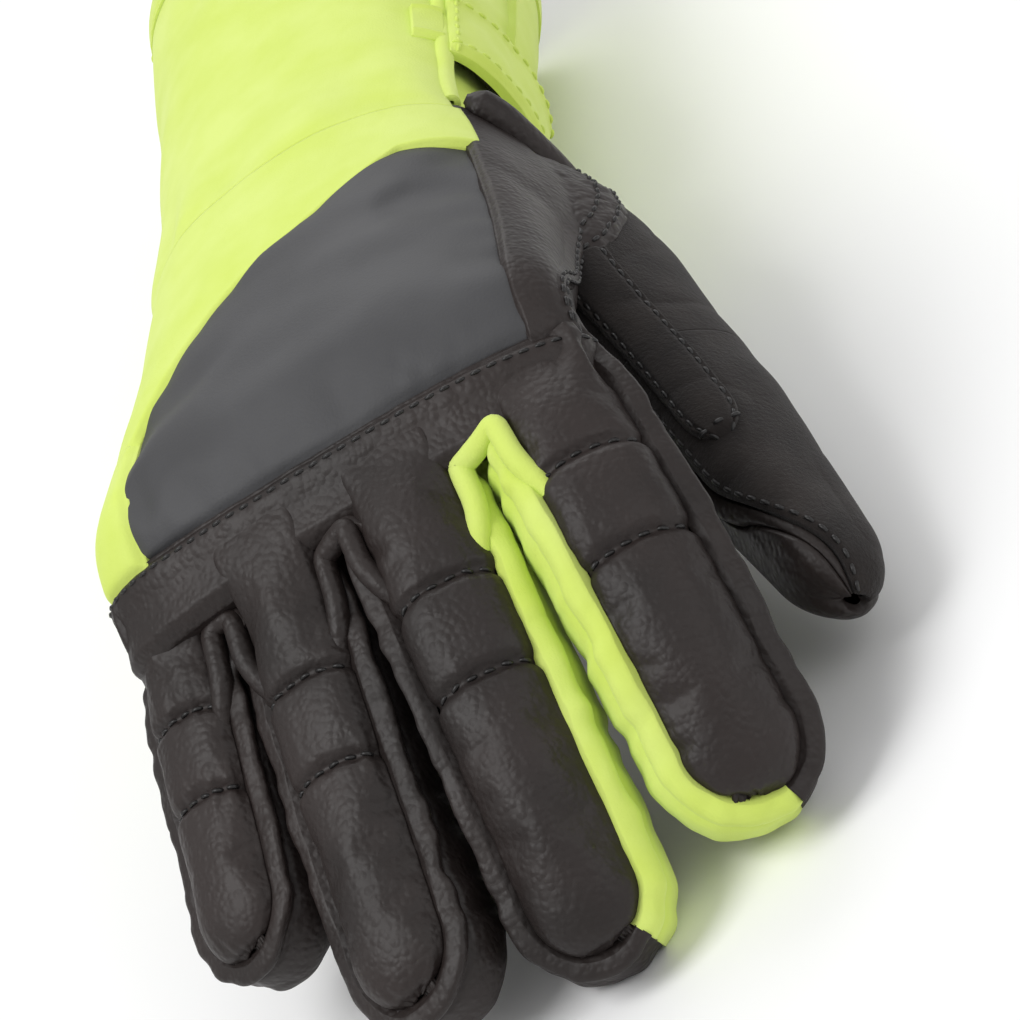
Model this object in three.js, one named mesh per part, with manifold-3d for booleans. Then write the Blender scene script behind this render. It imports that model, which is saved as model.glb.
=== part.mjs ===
// Padded winter work glove for the right hand, standing on its fingertips and on the underside of its cuff.
// Units are millimetres and degrees. +Z is up, +X is the thumb side, -Y is the way the fingers point.
// The origin is on the ground, under the middle of the cuff's open end, where the glove rests.
import * as THREE from "three";
import { mergeVertices } from "three/addons/utils/BufferGeometryUtils.js";
import Module from "manifold-3d";

const wasm = await Module();
wasm.setup();

// ---- driving dimensions ----
const SEAM_GAP = 0.4; // clearance between neighbouring pieces
const SHELL = 2.2; // outer leather or softshell with its foam backing
const LINING = 1.4; // fleece lining under the shell
const HAND_SLOPE = -9; // pitch of the back of the hand: the wrist lies lower than the knuckles
const KNUCKLE_HEIGHT = 69.6; // height of the knuckle line over the ground
const WRIST_AT = 97; // from the knuckle line to the middle of the wrist
const CUFF_END = 214; // from the knuckle line to the cuff's open end
const HEM_LENGTH = 14;
const REST_AT = CUFF_END - 3.5; // where the underside of the hem lies flat on the ground, over the origin
const KNUCKLE_BEND = 34; // how far the finger roots point down from the back of the hand
const KNUCKLE_SKEW = -4.5; // the knuckle line runs back towards the little finger
const KNUCKLE_PIVOT = [0, 4, -2];
const KNUCKLE_FLEX_HALF = 6; // half length of the soft zone over the knuckles
const PALM_RELIEF = 5.5; // how much longer the soft zone is on the palm side, where the hand folds
const ROOT_PROUD = 0.5; // how far the finger roots stand proud of the knuckle leather
const MOST_ACROSS = 0.96; // how far out over the hand the finger roots reach, as a share of its half width
const KNUCKLE_FRONT = 17.5; // from the knuckle line to the front edge of the hand
const FINGER_ROOT = 10; // how far back from the web a finger's leather runs over the knuckle leather
const WRIST_FLEX_HALF = 11; // half length of the gathered zone at the wrist
const SQUARENESS = 2.5; // exponent of the rounded cross-sections

// Half width, half depth and centre of the hand's cross-section, by distance from the knuckle line.
const HAND_SECTIONS = [
  { at: -20, half: 52.5, deep: 14.5, x: 1, z: 0 },
  { at: 0, half: 51, deep: 17.5, x: 2, z: -1 },
  { at: 30, half: 47, deep: 21, x: 3.5, z: -3 },
  { at: 60, half: 43.5, deep: 24.5, x: 3, z: -5 },
  { at: WRIST_AT, half: 38, deep: 27, x: 1, z: -5.5 },
  { at: 150, half: 38.5, deep: 30, x: 1, z: -4.5 },
  { at: CUFF_END, half: 41, deep: 36, x: 1, z: -3 },
];

// root: the knuckle's place on the hand. bend: how far the root, middle and last joints point down.
// web, quilt1, quilt2 and length run from the knuckle along the finger.
const FINGERS = [
  { name: "index", root: [39, 3, -2], splay: 6.5, roll: 15, bend: [KNUCKLE_BEND - 1, 15, 11],
    web: 23.5, quilt1: 37, quilt2: 54, length: 105, half: 13.4, deep: 12.6 },
  { name: "middle", root: [11.5, 0, 0], splay: 0, roll: 15, bend: [KNUCKLE_BEND + 2, 11, 9],
    web: 23.5, quilt1: 43, quilt2: 60, length: 114, half: 12.8, deep: 12.6 },
  { name: "ring", root: [-12.5, 1.5, -2], splay: -8, roll: -5, bend: [KNUCKLE_BEND + 4, 4, -2],
    web: 23.5, quilt1: 42, quilt2: 59, length: 107, half: 12.4, deep: 12.2 },
  { name: "little", root: [-37, 9, -6], splay: -12, roll: -10, bend: [KNUCKLE_BEND + 3, 2, -2],
    web: 22.5, quilt1: 35, quilt2: 51, length: 84, half: 11.6, deep: 11.2 },
];
const SADDLE = { at: 3, thick: 3.5, deep: 11 }; // the strip between two fingers, past the start of the web
const BACK_EDGE = 52; // angle on the section, from its flank, where the back panel meets the side wall
const PALM_EDGE = -48;
const LAST_BEND_LENGTH = 14; // the stretch over which a finger bends at its last joint
const TIP_ROUND = 1.05; // length of the rounded fingertip over the finger's half width
const BAND_GAP = 4; // between the two colours there, as an angle
const BAND_SPLIT = { index: 55, middle: 50 }; // where the yellow side wall ends round the fingertip

const THUMB = {
  root: [41, 64, -15], tip: [73, -40, -65.5], back: [0.8, 0, 0.6],
  half: 14.4, deep: 12, ballHalf: 17.5, ballAt: 14, heelHalf: 9, heelAt: -22,
  flexFrom: 50, bendFrom: 79, bendTo: 91, rootGap: 0.5,
};
const HAND_REACH = [-10, 110]; // the stretch of the hand that the thumb's root lies against
const WEAR_PATCH = { margin: 3, angles: [-64, -20], thick: 1.2 };

// Round the hand, as angles from the middle of the back towards the thumb.
const BACK_THUMB_EDGE = 58; // reflective panel to the thumb-side leather
const BACK_LITTLE_EDGE = -45; // reflective panel to the side panel over the little finger
// The reflective panel's rear edge curves back from the little finger towards the thumb.
const BACK_REAR = { little: 20, thumb: 61, straightFrom: 20 };
const THUMB_HOLE = [88, 140];
const THUMB_HOLE_FROM = 24;
const THUMB_HOLE_TO = 74;
const PALM_LITTLE_EDGE = 262;
const HEEL_PAD = { angles: [172, 250], from: 28, to: 78, thick: 1.6 };

const PALM_BACK_EDGE = 268; // the cuff's seam between its palm and its back
const GUSSET = { angles: [62, 96], sunk: 0.6 }; // the softer panel on the thumb side of the cuff
const STRAP = { from: WRIST_AT + 17, width: 26, margin: 3, thick: 2.4, start: 62, split: 124, end: 205 };
const PATCH_THICK = 1; // hook and loop patches under the strap's end
const PULL_TAB = { angles: [-112, -96], length: 18, top: 2.2 };

// ---- colours ----
const COLOURS = {
  leather: { color: 0x37302d, roughness: 0.5 },
  suede: { color: 0x322c2a, roughness: 0.95 },
  softshell: { color: 0xd6f05a, roughness: 0.85 },
  reflective: { color: 0x58585a, roughness: 0.6 },
  fleece: { color: 0x232325, roughness: 1 },
  elastic: { color: 0x2a2a2c, roughness: 0.9 },
};

// ---- geometry helpers ----
const rad = THREE.MathUtils.degToRad;
const clamp = THREE.MathUtils.clamp;
const lerp = THREE.MathUtils.lerp;
const smoothstep = THREE.MathUtils.smoothstep;
const power = (value, exponent) => Math.sign(value) * Math.abs(value) ** exponent;

function closedGeometry(points, faces) {
  const raw = new THREE.BufferGeometry();
  raw.setAttribute("position", new THREE.Float32BufferAttribute(points.flat(), 3));
  raw.setIndex(faces);
  const merged = mergeVertices(raw, 1e-4);
  const kept = [];
  for (let i = 0; i < merged.index.count; i += 3) {
    const [a, b, c] = merged.index.array.subarray(i, i + 3);
    if (a !== b && b !== c && c !== a) kept.push(a, b, c);
  }
  const p = merged.attributes.position.array;
  let volume = 0;
  const corner = (k) => new THREE.Vector3(...p.subarray(3 * k, 3 * k + 3));
  for (let i = 0; i < kept.length; i += 3) {
    const [a, b, c] = kept.slice(i, i + 3).map(corner);
    volume += a.dot(b.cross(c));
  }
  if (volume < 0) kept.reverse();
  merged.setIndex(kept);
  return merged;
}

// A closed slab over a grid: surface(u, v, w), u and v from 0 to 1 over its face, w 0 inside and 1 outside.
// With wrap, v runs all the way round and the slab is a sleeve.
function slab(nu, nv, surface, wrap = false) {
  const columns = wrap ? nv : nv + 1;
  const points = [];
  for (const w of [0, 1])
    for (let i = 0; i <= nu; i++)
      for (let j = 0; j < columns; j++) points.push(surface(i / nu, j / nv, w));
  const at = (i, j, w) => (w * (nu + 1) + i) * columns + (j % columns);
  const faces = [];
  const quad = (a, b, c, d) => faces.push(a, b, c, a, c, d);
  for (let i = 0; i < nu; i++)
    for (let j = 0; j < nv; j++) {
      quad(at(i, j, 1), at(i + 1, j, 1), at(i + 1, j + 1, 1), at(i, j + 1, 1));
      quad(at(i, j, 0), at(i, j + 1, 0), at(i + 1, j + 1, 0), at(i + 1, j, 0));
    }
  for (let j = 0; j < nv; j++) {
    quad(at(0, j, 0), at(0, j, 1), at(0, j + 1, 1), at(0, j + 1, 0));
    quad(at(nu, j, 0), at(nu, j + 1, 0), at(nu, j + 1, 1), at(nu, j, 1));
  }
  if (!wrap)
    for (let i = 0; i < nu; i++) {
      quad(at(i, 0, 0), at(i + 1, 0, 0), at(i + 1, 0, 1), at(i, 0, 1));
      quad(at(i, nv, 0), at(i, nv, 1), at(i + 1, nv, 1), at(i + 1, nv, 0));
    }
  return closedGeometry(points, faces);
}

function solidOf(geometry) {
  const plain = geometry.clone();
  plain.deleteAttribute("normal");
  plain.deleteAttribute("uv");
  const merged = mergeVertices(plain, 1e-4);
  const triVerts = new Uint32Array(merged.index.array);
  const vertProperties = merged.attributes.position.array;
  return new wasm.Manifold(new wasm.Mesh({ numProp: 3, vertProperties, triVerts }));
}

function geometryOf(solid) {
  const mesh = solid.getMesh();
  const geometry = new THREE.BufferGeometry();
  geometry.setAttribute("position", new THREE.BufferAttribute(mesh.vertProperties, 3));
  return geometry.setIndex(new THREE.BufferAttribute(mesh.triVerts, 1));
}

function piece(name, look, geometry, parent) {
  const material = new THREE.MeshStandardMaterial({ metalness: 0, ...COLOURS[look] });
  const mesh = new THREE.Mesh(geometry, material);
  mesh.name = name;
  parent.add(mesh);
  return mesh;
}

// ---- the hand's skin ----
function handSection(s) {
  const rows = HAND_SECTIONS;
  const k = clamp(rows.findIndex((row) => row.at > s) - 1, 0, rows.length - 2);
  const t = clamp((s - rows[k].at) / (rows[k + 1].at - rows[k].at), 0, 1);
  const mix = (key) => lerp(rows[k][key], rows[k + 1][key], s > rows.at(-1).at ? 1 : t);
  return { half: mix("half"), deep: mix("deep"), x: mix("x"), z: mix("z") };
}

// Lowest height on the hand's own axes at which a piece meets the ground.
const groundAt = (y) => (-KNUCKLE_HEIGHT - y * Math.sin(rad(HAND_SLOPE))) / Math.cos(rad(HAND_SLOPE));

function handPoint(angle, s, inset) {
  const section = handSection(s);
  const turn = rad(angle);
  const x = section.x + (section.half - inset) * power(Math.sin(turn), 2 / SQUARENESS);
  const z = section.z + (section.deep - inset) * power(Math.cos(turn), 2 / SQUARENESS);
  return [x, s, Math.max(z, groundAt(s) + inset)];
}

// A panel of the hand between two angles and two stations. A station is a distance, or one for each angle.
const stationAt = (station, angle) => (typeof station === "function" ? station(angle) : station);

function handPanel(angles, stations, thick, inset = 0, grid = [6, 8]) {
  const gap = THREE.MathUtils.radToDeg(SEAM_GAP / 2 / handSection(stationAt(stations[1], angles[0])).deep);
  return slab(grid[0], grid[1], (u, v, w) => {
    const angle = lerp(angles[0] + gap, angles[1] - gap, v);
    const [from, to] = stations.map((station) => stationAt(station, angle));
    return handPoint(angle, lerp(from + SEAM_GAP / 2, to - SEAM_GAP / 2, u), inset + (w ? 0 : thick));
  });
}

function handSleeve([from, to], thick, inset, grid) {
  const point = (u, v, w) =>
    handPoint(360 * v, lerp(from + SEAM_GAP / 2, to - SEAM_GAP / 2, u), inset + (w ? 0 : thick));
  return slab(grid[0], grid[1], point, true);
}

// ---- frames ----
const glove = new THREE.Group();
const hand = new THREE.Group();
const restBack = REST_AT * Math.cos(rad(HAND_SLOPE)) - groundAt(REST_AT) * Math.sin(rad(HAND_SLOPE));
hand.position.set(0, -restBack, KNUCKLE_HEIGHT);
hand.rotation.x = rad(HAND_SLOPE);
glove.add(hand);

const knuckles = new THREE.Group();
knuckles.position.set(...KNUCKLE_PIVOT);
knuckles.rotation.set(rad(KNUCKLE_BEND), 0, rad(KNUCKLE_SKEW), "ZXY");
hand.add(knuckles);

// The soft zone over the knuckles ends this far from the knuckle line, at an angle round the hand.
const foldEdge = (angle) => KNUCKLE_FLEX_HALF + (PALM_RELIEF * (1 - Math.cos(rad(angle)))) / 2;

// ---- hand: back, palm, thumb side ----
const BACK_TO = WRIST_AT - WRIST_FLEX_HALF;
const backRear = (angle) =>
  lerp(BACK_REAR.little, BACK_REAR.thumb, smoothstep(angle, BACK_LITTLE_EDGE, BACK_REAR.straightFrom));

function buildHand() {
  const all = [foldEdge, BACK_TO];
  const back = [BACK_LITTLE_EDGE, BACK_THUMB_EDGE];
  const add = (name, look, ...panel) => piece(name, look, handPanel(...panel), hand);
  add("back_reflective_panel", "reflective", back, [foldEdge, backRear], SHELL);
  add("back_wrist_softshell", "softshell", back, [backRear, BACK_TO], SHELL);
  add("back_side_panel", "softshell", [PALM_LITTLE_EDGE - 360, BACK_LITTLE_EDGE], all, SHELL);
  add("back_thumb_leather", "leather", [BACK_THUMB_EDGE, THUMB_HOLE[0]], all, SHELL, 0, [6, 3]);
  add("thumb_side_front", "leather", THUMB_HOLE, [foldEdge, THUMB_HOLE_FROM], SHELL, 0, [2, 4]);
  add("thumb_side_rear", "leather", THUMB_HOLE, [THUMB_HOLE_TO, BACK_TO], SHELL, 0, [2, 4]);
  add("palm_leather", "leather", [THUMB_HOLE[1], PALM_LITTLE_EDGE], all, SHELL);
  const { angles, from, to, thick } = HEEL_PAD;
  add("palm_heel_pad", "suede", angles, [from, to], thick, -thick - SEAM_GAP, [4, 5]);
  const lined = [KNUCKLE_FLEX_HALF + PALM_RELIEF, THUMB_HOLE_FROM - 1];
  piece("hand_lining", "fleece", handSleeve(lined, LINING, SHELL + SEAM_GAP, [2, 20]), hand);
}

// ---- knuckles ----
function knucklePoint(angle, s, inset) {
  const [x, y, z] = handPoint(angle, s, inset);
  return [x, y, z + KNUCKLE_PIVOT[2] / 2];
}

function buildKnuckles(bases) {
  knuckles.updateMatrix();
  const toHand = knuckles.matrix;
  const panel = (angles) => slab(3, 10, (u, v, w) => {
    const angle = lerp(angles[0], angles[1], v);
    return knucklePoint(angle, lerp(-KNUCKLE_FRONT, -foldEdge(angle) - SEAM_GAP / 2, u), w ? 0 : SHELL);
  });
  // One piece of leather runs over the knuckles and out along every finger, and another under them.
  // Each finger's plate settles onto the knuckle leather as it runs back to its root.
  const toKnuckles = toHand.clone().invert();
  const fingerRoot = (finger, base, side) => slab(4, 6, (u, v, w) => {
    const shape = fingerShape(finger, w ? 0 : SHELL);
    const s = lerp(finger.web - FINGER_ROOT, finger.quilt1 - SEAM_GAP, u);
    const flat = shape.plate(s, (2 * v - 1) * (1 - SEAM_GAP / finger.half), side);
    const point = new THREE.Vector3(...flat).applyMatrix4(base.matrix).applyMatrix4(toKnuckles);
    const section = handSection(point.y);
    const across = Math.min(MOST_ACROSS, Math.abs(point.x - section.x) / section.half);
    const proud = (section.deep - (w ? 0 : SHELL) + ROOT_PROUD) * crown(across);
    const skin = section.z + KNUCKLE_PIVOT[2] / 2 + side * proud;
    point.z = lerp(point.z, skin, clamp((finger.web - s) / (FINGER_ROOT / 2), 0, 1));
    return point.applyMatrix4(toHand).toArray();
  });
  const withFingers = (angles, side) => {
    const roots = FINGERS.map((finger, k) => solidOf(fingerRoot(finger, bases[k], side)));
    return roots.reduce((sum, root) => sum.add(root), solidOf(panel(angles).applyMatrix4(toHand)));
  };
  piece("knuckle_leather", "leather", geometryOf(withFingers([-86, 86], 1)), hand);
  piece("palm_front_leather", "leather", geometryOf(withFingers([88, 272], -1)), hand);
  // The soft zone over the knuckle line turns half way between the hand and the finger roots.
  piece("knuckle_flex", "leather", slab(2, 24, (u, v, w) => {
    const inset = SEAM_GAP + (w ? 0 : SHELL - SEAM_GAP);
    const edge = foldEdge(360 * v) - SEAM_GAP;
    const back = handPoint(360 * v, edge, inset);
    const front = new THREE.Vector3(...knucklePoint(360 * v, -edge, inset)).applyMatrix4(toHand);
    const middle = [(back[0] + front.x) / 2, (back[1] + front.y) / 2, (back[2] + front.z) / 2];
    const bulge = Math.cos(2 * Math.PI * v) > 0 ? 1.2 * Math.cos(2 * Math.PI * v) : 0;
    if (u === 0) return front.toArray();
    return u === 1 ? back : [middle[0], middle[1], middle[2] + bulge];
  }, true), hand);
}

// ---- fingers ----
// How far out from the middle of a finger's section its skin lies, as a share of the half depth.
const crown = (rho) => Math.max(0, 1 - rho ** SQUARENESS) ** (1 / SQUARENESS);
const flank = (angle) => power(Math.cos(rad(angle)), 2 / SQUARENESS);

// A point of the straight finger after a turn, in radians, about the axis across it at one of its joints.
function turnAt([x, along, z], joint, turn) {
  const y = along + joint;
  const [cos, sin] = [Math.cos(turn), Math.sin(turn)];
  return [x, y * cos - z * sin - joint, y * sin + z * cos];
}

// Bends the straight finger at its last joint, over a soft stretch to either side of it.
function bendLast(point, joint, angle) {
  const past = -point[1] - joint;
  return turnAt(point, joint, rad(angle) * clamp(0.5 + past / LAST_BEND_LENGTH, 0, 1));
}

// A finger's skin, straight along -Y from its knuckle; inset goes in from the outer face.
function fingerShape(finger, inset) {
  const half = finger.half - inset;
  const deep = finger.deep - inset;
  const endStart = finger.length - finger.half * TIP_ROUND;
  const round = finger.half * TIP_ROUND - inset;
  const plate = (s, across, side) => {
    const edge = flank(side > 0 ? BACK_EDGE : PALM_EDGE);
    const along = Math.max(0, s - endStart) / round;
    const room = Math.sqrt(Math.max(0, edge ** 2 - along ** 2));
    const x = across * half * room;
    const rho = Math.min(1, Math.hypot(x / half, along));
    return [x, -s, side * deep * crown(rho)];
  };
  const wall = (turn, s, angle) => {
    const out = flank(angle);
    const z = deep * power(Math.sin(rad(angle)), 2 / SQUARENESS);
    return [half * out * Math.sin(rad(turn)), -s - round * out * Math.max(0, Math.cos(rad(turn))), z];
  };
  const plateEnd = (side) => endStart + round * flank(side > 0 ? BACK_EDGE : PALM_EDGE);
  return { plate, wall, endStart, plateEnd };
}

function fingerPlate(finger, from, to, side, nu) {
  const outer = fingerShape(finger, 0);
  const inner = fingerShape(finger, SHELL);
  const edge = 1 - SEAM_GAP / finger.half;
  return slab(nu, 4, (u, v, w) => {
    const shape = w ? outer : inner;
    const last = to ?? shape.plateEnd(side) - SEAM_GAP;
    return shape.plate(lerp(from, last, u), (2 * v - 1) * edge, side);
  });
}

// A straight side wall: side is -1 or 1 across the finger.
function fingerWall(finger, from, to, side) {
  const outer = fingerShape(finger, 0);
  const inner = fingerShape(finger, SHELL);
  return slab(2, 4, (u, v, w) =>
    (w ? outer : inner).wall(90 * side, lerp(from, to, u), lerp(PALM_EDGE + 1, BACK_EDGE - 1, v)));
}

// A side wall that runs along the finger and round its tip, between two turns.
// Turns of -90 and 90 are the straight sides.
function fingerBand(finger, from, turns) {
  const outer = fingerShape(finger, 0);
  const inner = fingerShape(finger, SHELL);
  const straight = (turn) => Math.abs(turn) >= 90;
  const path = [];
  if (straight(turns[0])) path.push([turns[0], from], [turns[0], (from + outer.endStart) / 2]);
  const steps = Math.max(2, Math.round(Math.abs(turns[1] - turns[0]) / 22));
  for (let i = 0; i <= steps; i++) path.push([lerp(turns[0], turns[1], i / steps), outer.endStart]);
  if (straight(turns[1])) path.push([turns[1], (from + outer.endStart) / 2], [turns[1], from]);
  return slab(path.length - 1, 4, (u, v, w) => {
    const [turn, s] = path[Math.round(u * (path.length - 1))];
    return (w ? outer : inner).wall(turn, s, lerp(PALM_EDGE + 1, BACK_EDGE - 1, v));
  });
}

function fingerSleeve(finger, from, to, thick, inset, nu, closed) {
  return slab(nu, 12, (u, v, w) => {
    const gap = inset + (w ? 0 : thick);
    const half = finger.half - gap;
    const deep = finger.deep - gap;
    const endStart = finger.length - finger.half * TIP_ROUND;
    const round = finger.half * TIP_ROUND - gap;
    const capped = closed && u > 0.5;
    const lift = (u - 0.5) * Math.PI;
    const straight = lerp(from, closed ? endStart : to, closed ? 2 * u : u);
    const s = capped ? endStart + round * Math.sin(lift) : straight;
    const scale = capped ? Math.cos(lift) : 1;
    const size = closed && u === 1 ? 0 : scale;
    const turn = 2 * Math.PI * v;
    const across = power(Math.sin(turn), 2 / SQUARENESS);
    return [half * size * across, -s, deep * size * power(Math.cos(turn), 2 / SQUARENESS)];
  }, true);
}

function mapPoints(geometry, move) {
  const position = geometry.attributes.position;
  for (let i = 0; i < position.count; i++)
    position.setXYZ(i, ...move([position.getX(i), position.getY(i), position.getZ(i)]));
  return geometry;
}

const jointAt = (finger) => (finger.quilt1 + finger.quilt2) / 2;
const lastJointAt = (finger) => lerp(jointAt(finger), finger.length, 0.45);

// The finger's base and, nested at its middle joint, its end.
function fingerFrames(finger) {
  const base = new THREE.Group();
  base.position.set(...finger.root);
  base.rotation.set(rad(finger.bend[0]), rad(finger.roll), rad(finger.splay), "ZXY");
  hand.add(base);
  const end = new THREE.Group();
  end.position.set(0, -jointAt(finger), 0);
  end.rotation.x = rad(finger.bend[1]);
  base.add(end);
  base.updateMatrix();
  const shifted = new THREE.Group();
  shifted.position.set(0, jointAt(finger), 0);
  end.add(shifted);
  return { base, end: shifted };
}

function buildFinger(finger, { base, end }) {
  const { name, quilt1, quilt2 } = finger;
  const curl = (geometry) => mapPoints(geometry, (p) => bendLast(p, lastJointAt(finger), finger.bend[2]));
  const half = rad(finger.bend[1] / 2);
  const flex = fingerSleeve(finger, quilt1, quilt2, SHELL, SEAM_GAP, 4, false);
  const bendFlex = (p) => {
    const y = p[1] + jointAt(finger);
    return turnAt(p, jointAt(finger), half * clamp(1 - y / ((quilt2 - quilt1) / 2), 0, 2));
  };
  piece(name + "_flex_pad", "leather", mapPoints(flex, bendFlex), base);
  piece(name + "_back_tip", "leather", curl(fingerPlate(finger, quilt2 + SEAM_GAP, null, 1, 7)), end);
  piece(name + "_palm_tip", "leather", curl(fingerPlate(finger, quilt2 + SEAM_GAP, null, -1, 7)), end);
  const start = quilt2 + SEAM_GAP;
  const split = BAND_SPLIT[name];
  const wall = (suffix, look, turns) =>
    piece(name + suffix, look, curl(fingerBand(finger, start, turns)), end);
  if (split) {
    const [little, thumb] = name === "index" ? ["softshell", "leather"] : ["leather", "softshell"];
    wall("_wall_little_side", little, [-90, split - BAND_GAP / 2]);
    wall("_wall_thumb_side", thumb, [split + BAND_GAP / 2, 90]);
  } else {
    wall("_wall", "leather", [-90, 90]);
  }
  const lining = fingerSleeve(finger, quilt2 + 1, null, LINING, SHELL + SEAM_GAP, 8, true);
  piece(name + "_lining", "fleece", curl(lining), end);
}

// The side walls between two fingers with the saddle that joins them, and the outer walls at either side.
function buildForchettes(bases) {
  const wallIn = (k, side) => {
    const finger = FINGERS[k];
    const wall = fingerWall(finger, finger.web, finger.quilt1 - SEAM_GAP, side);
    return wall.applyMatrix4(bases[k].matrix);
  };
  piece("index_outer_wall", "leather", wallIn(0, 1), hand);
  piece("little_outer_wall", "leather", wallIn(3, -1), hand);
  const names = ["forchette_index_middle", "forchette_middle_ring", "forchette_ring_little"];
  names.forEach((name, k) => {
    const saddleEnd = (j, side) => {
      const { half, web } = FINGERS[j];
      const point = new THREE.Vector3(side * (half - SHELL / 2), -web - SADDLE.at, 0);
      return point.applyMatrix4(bases[j].matrix);
    };
    const first = saddleEnd(k, -1);
    const second = saddleEnd(k + 1, 1);
    const bridge = new THREE.BoxGeometry(first.distanceTo(second), SADDLE.thick, SADDLE.deep);
    bridge.rotateX(rad(KNUCKLE_BEND));
    const middle = first.clone().add(second).multiplyScalar(0.5);
    const facing = new THREE.Matrix4().makeRotationZ(Math.atan2(first.y - second.y, first.x - second.x));
    bridge.applyMatrix4(facing).translate(middle.x, middle.y, middle.z);
    const joined = solidOf(wallIn(k, -1)).add(solidOf(wallIn(k + 1, 1))).add(solidOf(bridge));
    piece(name, k === 0 ? "softshell" : "leather", geometryOf(joined), hand);
  });
}

// ---- thumb ----
const thumbFrame = (() => {
  const root = new THREE.Vector3(...THUMB.root);
  const tip = new THREE.Vector3(...THUMB.tip);
  const back = root.clone().sub(tip).normalize();
  const up = new THREE.Vector3(...THUMB.back);
  up.addScaledVector(back, -up.dot(back)).normalize();
  const across = back.clone().cross(up);
  const matrix = new THREE.Matrix4().makeBasis(across, back, up).setPosition(root);
  return { matrix, length: root.distanceTo(tip) };
})();

// The thumb swells from its heel near the wrist to the ball, and narrows again towards the joint.
function thumbHalf(s) {
  const swell = clamp((s - THUMB.heelAt) / (THUMB.ballAt - THUMB.heelAt), 0, 1);
  const narrow = clamp((s - THUMB.ballAt) / (THUMB.flexFrom - THUMB.ballAt), 0, 1);
  if (s < THUMB.ballAt) return lerp(THUMB.heelHalf, THUMB.ballHalf, Math.sin((Math.PI / 2) * swell));
  return lerp(THUMB.ballHalf, THUMB.half, narrow);
}
const thumbDeep = (s) => (thumbHalf(s) * THUMB.deep) / THUMB.half;
const thumbShape = () => ({ name: "thumb", half: THUMB.half, deep: THUMB.deep, length: thumbFrame.length });

function thumbPoint(turn, s, inset) {
  const x = (thumbHalf(s) - inset) * power(Math.sin(turn), 2 / SQUARENESS);
  return [x, -s, (thumbDeep(s) - inset) * power(Math.cos(turn), 2 / SQUARENESS)];
}

function thumbSleeve(from, to, inset, thick, nu, angles) {
  const wrap = !angles;
  const point = (u, v, w) => {
    const turn = wrap ? 2 * Math.PI * v : rad(lerp(angles[0], angles[1], v));
    return thumbPoint(turn, lerp(from, to, u), inset + (w ? 0 : thick));
  };
  return slab(nu, wrap ? 16 : 8, point, wrap);
}

function buildThumb() {
  const thumb = new THREE.Group();
  thumb.applyMatrix4(thumbFrame.matrix);
  hand.add(thumb);
  const shape = thumbShape();
  // The thumb's root is cut back by the hand, a little larger than it is.
  const keepOut = slab(8, 32, (u, v, w) => {
    const s = lerp(HAND_REACH[0], HAND_REACH[1], u);
    const { x, z } = handSection(s);
    return w ? handPoint(360 * v, s, -THUMB.rootGap) : [x, s, z];
  }, true);
  const skirt = thumbSleeve(THUMB.heelAt, THUMB.flexFrom - SEAM_GAP, SEAM_GAP, SHELL, 7);
  const bodies = solidOf(skirt.applyMatrix4(thumbFrame.matrix)).subtract(solidOf(keepOut)).decompose();
  const largest = bodies.reduce((best, body) => (body.volume() > best.volume() ? body : best));
  piece("thumb_root", "suede", geometryOf(largest), hand);
  const half = (angles) => thumbSleeve(THUMB.flexFrom, THUMB.bendFrom - SEAM_GAP, 0, SHELL, 3, angles);
  piece("thumb_suede", "suede", half([-88, 88]), thumb);
  piece("thumb_palm", "leather", half([92, 268]), thumb);
  piece("thumb_flex", "suede", thumbSleeve(THUMB.bendFrom, THUMB.bendTo, SEAM_GAP, SHELL, 2), thumb);
  piece("thumb_back_tip", "suede", fingerPlate(shape, THUMB.bendTo + SEAM_GAP, null, 1, 5), thumb);
  piece("thumb_palm_tip", "leather", fingerPlate(shape, THUMB.bendTo + SEAM_GAP, null, -1, 5), thumb);
  piece("thumb_wall", "leather", fingerBand(shape, THUMB.bendTo + SEAM_GAP, [-90, 90]), thumb);
  const { margin, angles, thick } = WEAR_PATCH;
  const patch = (u, v, w) => {
    const s = lerp(THUMB.flexFrom + margin, THUMB.bendFrom - margin, u);
    return thumbPoint(rad(lerp(angles[0], angles[1], v)), s, -SEAM_GAP - (w ? thick : 0));
  };
  piece("thumb_wear_patch", "suede", slab(3, 3, patch), thumb);
}

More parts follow.
